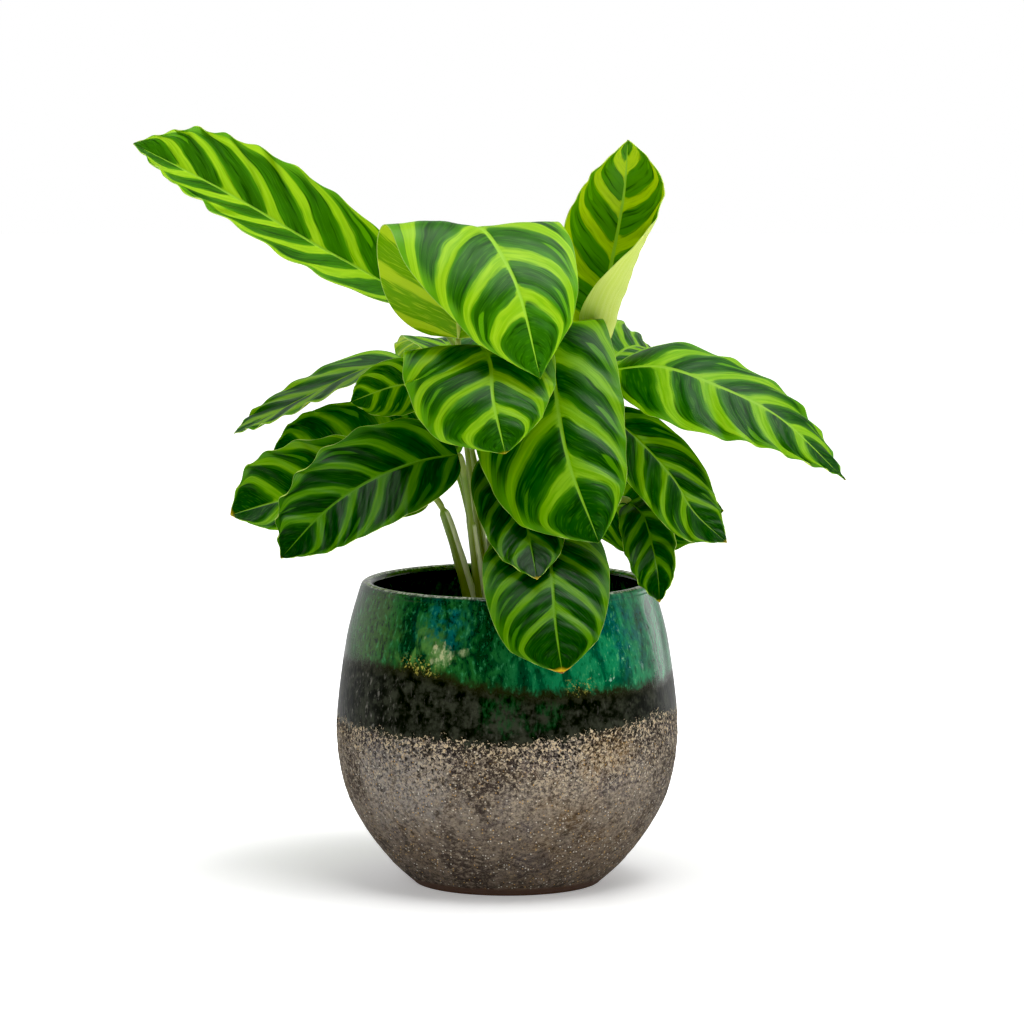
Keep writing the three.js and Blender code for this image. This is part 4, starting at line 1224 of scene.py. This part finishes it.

# the right side: sea-green glaze, bluer, and also painted brighter there as painted light from the right
sea_and_painted_light_side = x.fade(-0.02, 0.04)  # the glaze is brighter and bluer there
sea = ware.blend(runs.fade(0.4, 0.6), tone(4, 74, 46), tone(24, 124, 78))
olive = ware.blend(flecks, tone(28, 52, 12), tone(70, 112, 40))
teal = near((-40, -90, 172), 24).at_least(near((74, -66, 164), 34)).at_least(near((62, 78, 168), 40))
blue = ware.blend(flecks, tone(0, 62, 66), tone(14, 104, 104))
bright = near((66, -74, 148), 34, 0.6)
meadow = near((-52, -85, 150), 26, 0.8) * runs.fade(0.42, 0.6)
drip = near((-54, -85, 170), 4, 0.6).at_least(near((-50, -88, 163), 5, 0.6))
pale = near((-40, -92, 153), 9, 0.9).at_least(near((-26, -96, 155), 4, 0.6) * 0.5).at_least(drip)
pale = pale.at_least(near((-70, 68, 150), 12, 0.7))
moss = ware.coats(
    ware.blend(runs.fade(0.4, 0.6), tone(6, 44, 20), tone(30, 88, 36)),
    (sea_and_painted_light_side, sea),
    (near((-86, -50, 165), 34, 0.4) * 0.7, olive),
    (teal * small.fade(0.4, 0.62) * 0.75, blue),
    (flecks.fade(0.46, 0.36) * (0.8 - sea_and_painted_light_side * 0.4), tone(4, 34, 20)),
    (flecks.fade(0.55, 0.7) * (0.45 + bright * 0.5), tone(64, 152, 96)),
    (bright * small.fade(0.58, 0.68) * flecks.fade(0.5, 0.62), tone(150, 190, 170)),
    (meadow * 0.7, tone(84, 130, 58)),
    (pale * small.fade(0.36, 0.6) * 0.8, tone(122, 150, 96)),
    (pale * flecks.fade(0.46, 0.62) * 0.8, tone(182, 184, 138)),
    (pale * flecks.fade(0.62, 0.7) * 0.9, tone(150, 112, 84)))

passage = green + (small - 0.5) * 13.0 + (flecks - 0.5) * 7.0
gold = near((-53, -84, 140), 17, 0.4).at_least(near((44, -90, 133), 12, 0.4) * 0.6)
gold = gold * (passage - 2.0).size().fade(6.0, 2.0) * glints.fade(0.54, 0.6)
inside = (x * x + y * y).fade(0.0071, 0.0066)  # the square of a radius of 84 mm and of 81 mm
# the inside wall is painted dark grey, as painted shade inside the pot
inside_painted_shade = ware.blend(small.fade(0.3, 0.7), tone(20, 20, 19), tone(44, 44, 40))
# the crest of the lip is painted pale: worn glaze, and a painted highlight along it
worn_and_highlight = (z + (small - 0.5) * 0.0012).fade(0.1858, 0.1867)
worn_and_highlight_tone = ware.blend(flecks.fade(0.4, 0.65), tone(84, 96, 80), tone(210, 212, 200))
glaze = ware.coats(
    black,
    (passage.fade(-9.0, 0.0), tone(34, 36, 18)),
    (passage.fade(-3.0, 4.0), moss),
    (gold * 0.8, tone(190, 178, 80)),
    (inside, inside_painted_shade),
    (worn_and_highlight * 0.9, worn_and_highlight_tone))
print("nodes with the glaze:", len(ware.tree.nodes))

# %% [markdown]
# ## Rough clay
# The clay is grey brown with ochre and ashen patches, dark pits and pale raised grains. The grains grow
# stronger towards the glaze, where black glaze has run in between them, and the foot is darker. A few
# single specks, ochre or pale, are picked by the chance number of their grain. Plain noise alone would
# look like sand, so coats of several sizes lie over each other.

# %% The pot's clay
depth = above.fade(-52.0, -4.0, 0.3, 1.0) + (clouds - 0.5) * 0.9
ochre = near((57, -84, 92), 28, 0.9).at_least(sandy.fade(0.52, 0.68) * 0.6)
ashen = near((-62, -74, 72), 44, 0.7)
clay = ware.coats(
    tone(72, 62, 55),
    (clouds.fade(0.4, 0.56), tone(132, 121, 109)),
    (ochre * (0.15 + small.fade(0.4, 0.56) * 0.5), tone(144, 114, 70)),
    (ashen * (0.4 + small.fade(0.4, 0.6) * 0.45), tone(144, 139, 134)),
    (ware.cloud(where, 34, 2).fade(0.54, 0.68) * 0.5, tone(84, 80, 88)),
    (small.fade(0.54, 0.64) * 0.6, tone(50, 42, 36)),
    (small.fade(0.46, 0.38) * 0.5, tone(138, 124, 106)),
    (scuffs.fade(0.52, 0.6) * 0.5, tone(44, 37, 31)),
    (scuffs.fade(0.47, 0.4) * 0.5, tone(170, 156, 136)),
    (crust.fade(0.54, 0.6) * depth * (0.7 + x.fade(-0.07, 0.02) * 0.3), tone(190, 174, 146)),
    (crust.fade(0.46, 0.41) * depth, tone(28, 22, 19)))
foot_shade = z.fade(0.08, 0.02) * (0.4 + clouds.fade(0.4, 0.6) * 0.4)
speck = grain.fade(0.34, 0.2) * pick.fade(0.74, 0.78)
speck_tone = ware.blend(pick.fade(0.86, 0.88), tone(196, 152, 78), tone(222, 214, 196))
pitted = (above + (clouds - 0.5) * 20.0).fade(-16.0, -2.0) * (bead * 0.3 + 0.7)
clay = ware.coats(
    ware.shade(foot_shade, clay, tone(150, 140, 130)),
    (speck * 0.8, speck_tone),
    (pitted * crust.fade(0.53, 0.48), tone(9, 8, 7)),
    (pitted * crust.fade(0.55, 0.6), tone(206, 186, 148)),
    ((z + (small - 0.5) * 0.002).fade(0.0065, 0.004), tone(84, 64, 52)))
print("nodes with the clay:", len(ware.tree.nodes))

# %% [markdown]
# ## Glaze over clay
# The last step joins the two. Glaze is smooth and mirrors the lamps, while clay is matte and crumbly, so
# the share that says where the glaze covers the clay drives the colour, the roughness, the sheen and the
# bumps alike. With two materials on the mesh the border would follow the edges of its faces instead.

# %% Pot paint
covered = (above - (crust - 0.5) * 22.0 + (small - 0.5) * 14.0).fade(-0.3, 0.3)
bare = 1.0 - covered
tight = passage.fade(-6.0, 2.0, 0.32, 0.12) + (small - 0.5) * 0.12
gloss = bare * (0.78 + small * 0.15 - speck * 0.2) + covered * tight
sheen = covered * passage.fade(-6.0, 3.0, 0.1, 0.5) + bare * 0.25
crumbs = bare * (crust * 0.9 + small * 0.4 - scuffs * 0.35 - grain * 0.15)
ware.relief(crumbs + covered * (flecks * 0.14 + runs * 0.3), 1.1 * MM, 0.9)
ware.finish(base_color=ware.blend(covered, clay, glaze), roughness=gloss, specular_ior_level=sheen)
glaze_place = np.stack([above_glaze, above_green, beads], axis=1)
pot = fine_piece("pot", pot_points, pot_faces, [ware.owner], {"glaze_place": glaze_place})
print("pot faces:", len(pot.data.polygons), "- nodes of its material:", len(ware.tree.nodes))

# %% [markdown]
# ## Potting soil
# The soil lies below the rim and is seen from above only. It is a dark loose mix of peat, bark and a few
# pale crumbs. A single bumpy disc would look like a lid, so a bumpy ground carries some hundred loose
# chips, each a small bent scrap, all joined into one mesh. Blender's particles could scatter the chips,
# but they would be pieces of their own.

# %% Soil
SOIL_LEVEL = 150.0
SOIL_BOTTOM = 130.0
SOIL_MOUND = 3.0
SOIL_OUT = 91.2
GROUND_SINKS = 1.2    # so that the bumps and the chips stay near the level
SOIL_RINGS, SOIL_ROUND = 58, 150
LUMPS, CRUMBS = 1.1, 0.5
CHIPS = 620
CHIP_LONG, CHIP_WIDE, CHIP_THICK = (0.8, 3.2), (0.4, 0.9), (0.25, 0.5)
CHIP_RISES = 0.6
CHIP = np.array([(-1, -1, -1), (1, -1, -1), (1, 1, -1), (-1, 1, -1),
                 (-1, -1, 1), (1, -1, 1), (1, 1, 1), (-1, 1, 1)], float) * 0.8
CHIP_FACES = np.array([(0, 3, 2, 1), (4, 5, 6, 7), (0, 1, 5, 4), (1, 2, 6, 5), (2, 3, 7, 6), (3, 0, 4, 7)])


def soil_height(x, y):
    share = np.minimum(np.hypot(x, y) / SOIL_OUT, 1)
    return SOIL_LEVEL - GROUND_SINKS + SOIL_MOUND * np.cos(share * np.pi / 2) ** 2


def soil_ground():
    """Points and faces of the bumpy ground, with its side wall and its bottom."""
    ring = np.linspace(0.02, 1, SOIL_RINGS) * SOIL_OUT
    turn = np.linspace(0, 2 * np.pi, SOIL_ROUND, endpoint=False)
    x = (ring[:, None] * np.cos(turn)).ravel()
    y = (ring[:, None] * np.sin(turn)).ravel()
    z = soil_height(x, y)
    plain = np.stack([x, y, z], axis=1)
    z = z + LUMPS * rough_noise(plain, 7, 5.0, 2) + CRUMBS * rough_noise(plain, 2.5, 8.0)
    top = np.stack([x, y, z], axis=1)
    wall = np.stack([SOIL_OUT * np.cos(turn), SOIL_OUT * np.sin(turn), np.full(SOIL_ROUND, SOIL_BOTTOM)],
                    axis=1)
    middles = [[0, 0, SOIL_BOTTOM], [0, 0, top[:SOIL_ROUND, 2].mean()]]
    faces = tube_faces(SOIL_RINGS + 1, SOIL_ROUND)[:, [0, 3, 2, 1]].tolist()
    last = SOIL_RINGS * SOIL_ROUND
    for k in range(SOIL_ROUND):
        after = (k + 1) % SOIL_ROUND
        faces.append([last + k, last + SOIL_ROUND, last + after])
        faces.append([k, after, last + SOIL_ROUND + 1])
    return np.vstack([top, wall, middles]), faces


def chip(chances):
    """The eight corners of one chip."""
    out = SOIL_OUT * 0.96 * math.sqrt(chances.uniform())
    turn = chances.uniform(0, 2 * math.pi)
    x, y = out * math.cos(turn), out * math.sin(turn)
    size = chances.uniform(*CHIP_LONG) * np.array(
        [1, chances.uniform(*CHIP_WIDE), chances.uniform(*CHIP_THICK)])
    spin = Matrix.Rotation(chances.uniform(0, 6.28), 3, "Z")
    spin = spin @ Matrix.Rotation(chances.normal(0, 0.5), 3, "X")
    spin = spin @ Matrix.Rotation(chances.normal(0, 0.4), 3, "Y")
    bent = CHIP * size * chances.uniform(0.8, 1.2, (8, 3))
    return bent @ np.array(spin).T + (x, y, soil_height(x, y) + CHIP_RISES)


chances = np.random.default_rng(7)
ground_points, soil_faces = soil_ground()
soil_points = [ground_points]
soil_tints = [np.zeros(len(ground_points))]
for number in range(CHIPS):
    soil_points.append(chip(chances))
    soil_faces.extend((CHIP_FACES + len(ground_points) + number * len(CHIP)).tolist())
    soil_tints.append(np.full(len(CHIP), chances.uniform(0.05, 1)))
print("soil faces:", len(soil_faces))

# %% [markdown]
# ## Soil colours
# Peat is nearly black when it is damp, bark is a warm brown, and a few chips are pale crumbs of perlite.
# Each chip carries one chance number, `soil_tint`, that chooses its colour, and the ground carries 0. One
# material for each kind of chip would do as well, with more slots to keep in order.

# %% Soil paint
def soil_skin():
    paint = Paint("potting soil")
    tint = paint.attribute("soil_tint")[0]
    where = paint.joined(*paint.place())
    crumbs = paint.cloud(where, 420, 4, 0.6)
    peat = paint.blend(crumbs.fade(0.35, 0.65), tone(26, 18, 13), tone(66, 46, 32))
    bark = paint.blend(tint.fade(0.3, 0.8), tone(52, 34, 24), tone(104, 72, 46))
    colour = paint.coats(peat, (tint.fade(0.0, 0.04), bark), (tint.fade(0.94, 0.95), tone(196, 188, 172)))
    paint.relief(paint.cloud(where, 1100, 4, 0.65), 0.6 * MM, 0.9)
    return paint.finish(base_color=colour, roughness=0.85 + (crumbs - 0.5) * 0.2, specular_ior_level=0.3)


tint_marks = {"soil_tint": np.concatenate(soil_tints)[:, None]}
soil = fine_piece("soil", np.vstack(soil_points) * MM, soil_faces, [soil_skin()], tint_marks,
                  smooth=False)
print("soil chips:", CHIPS, "- points:", len(soil.data.vertices))
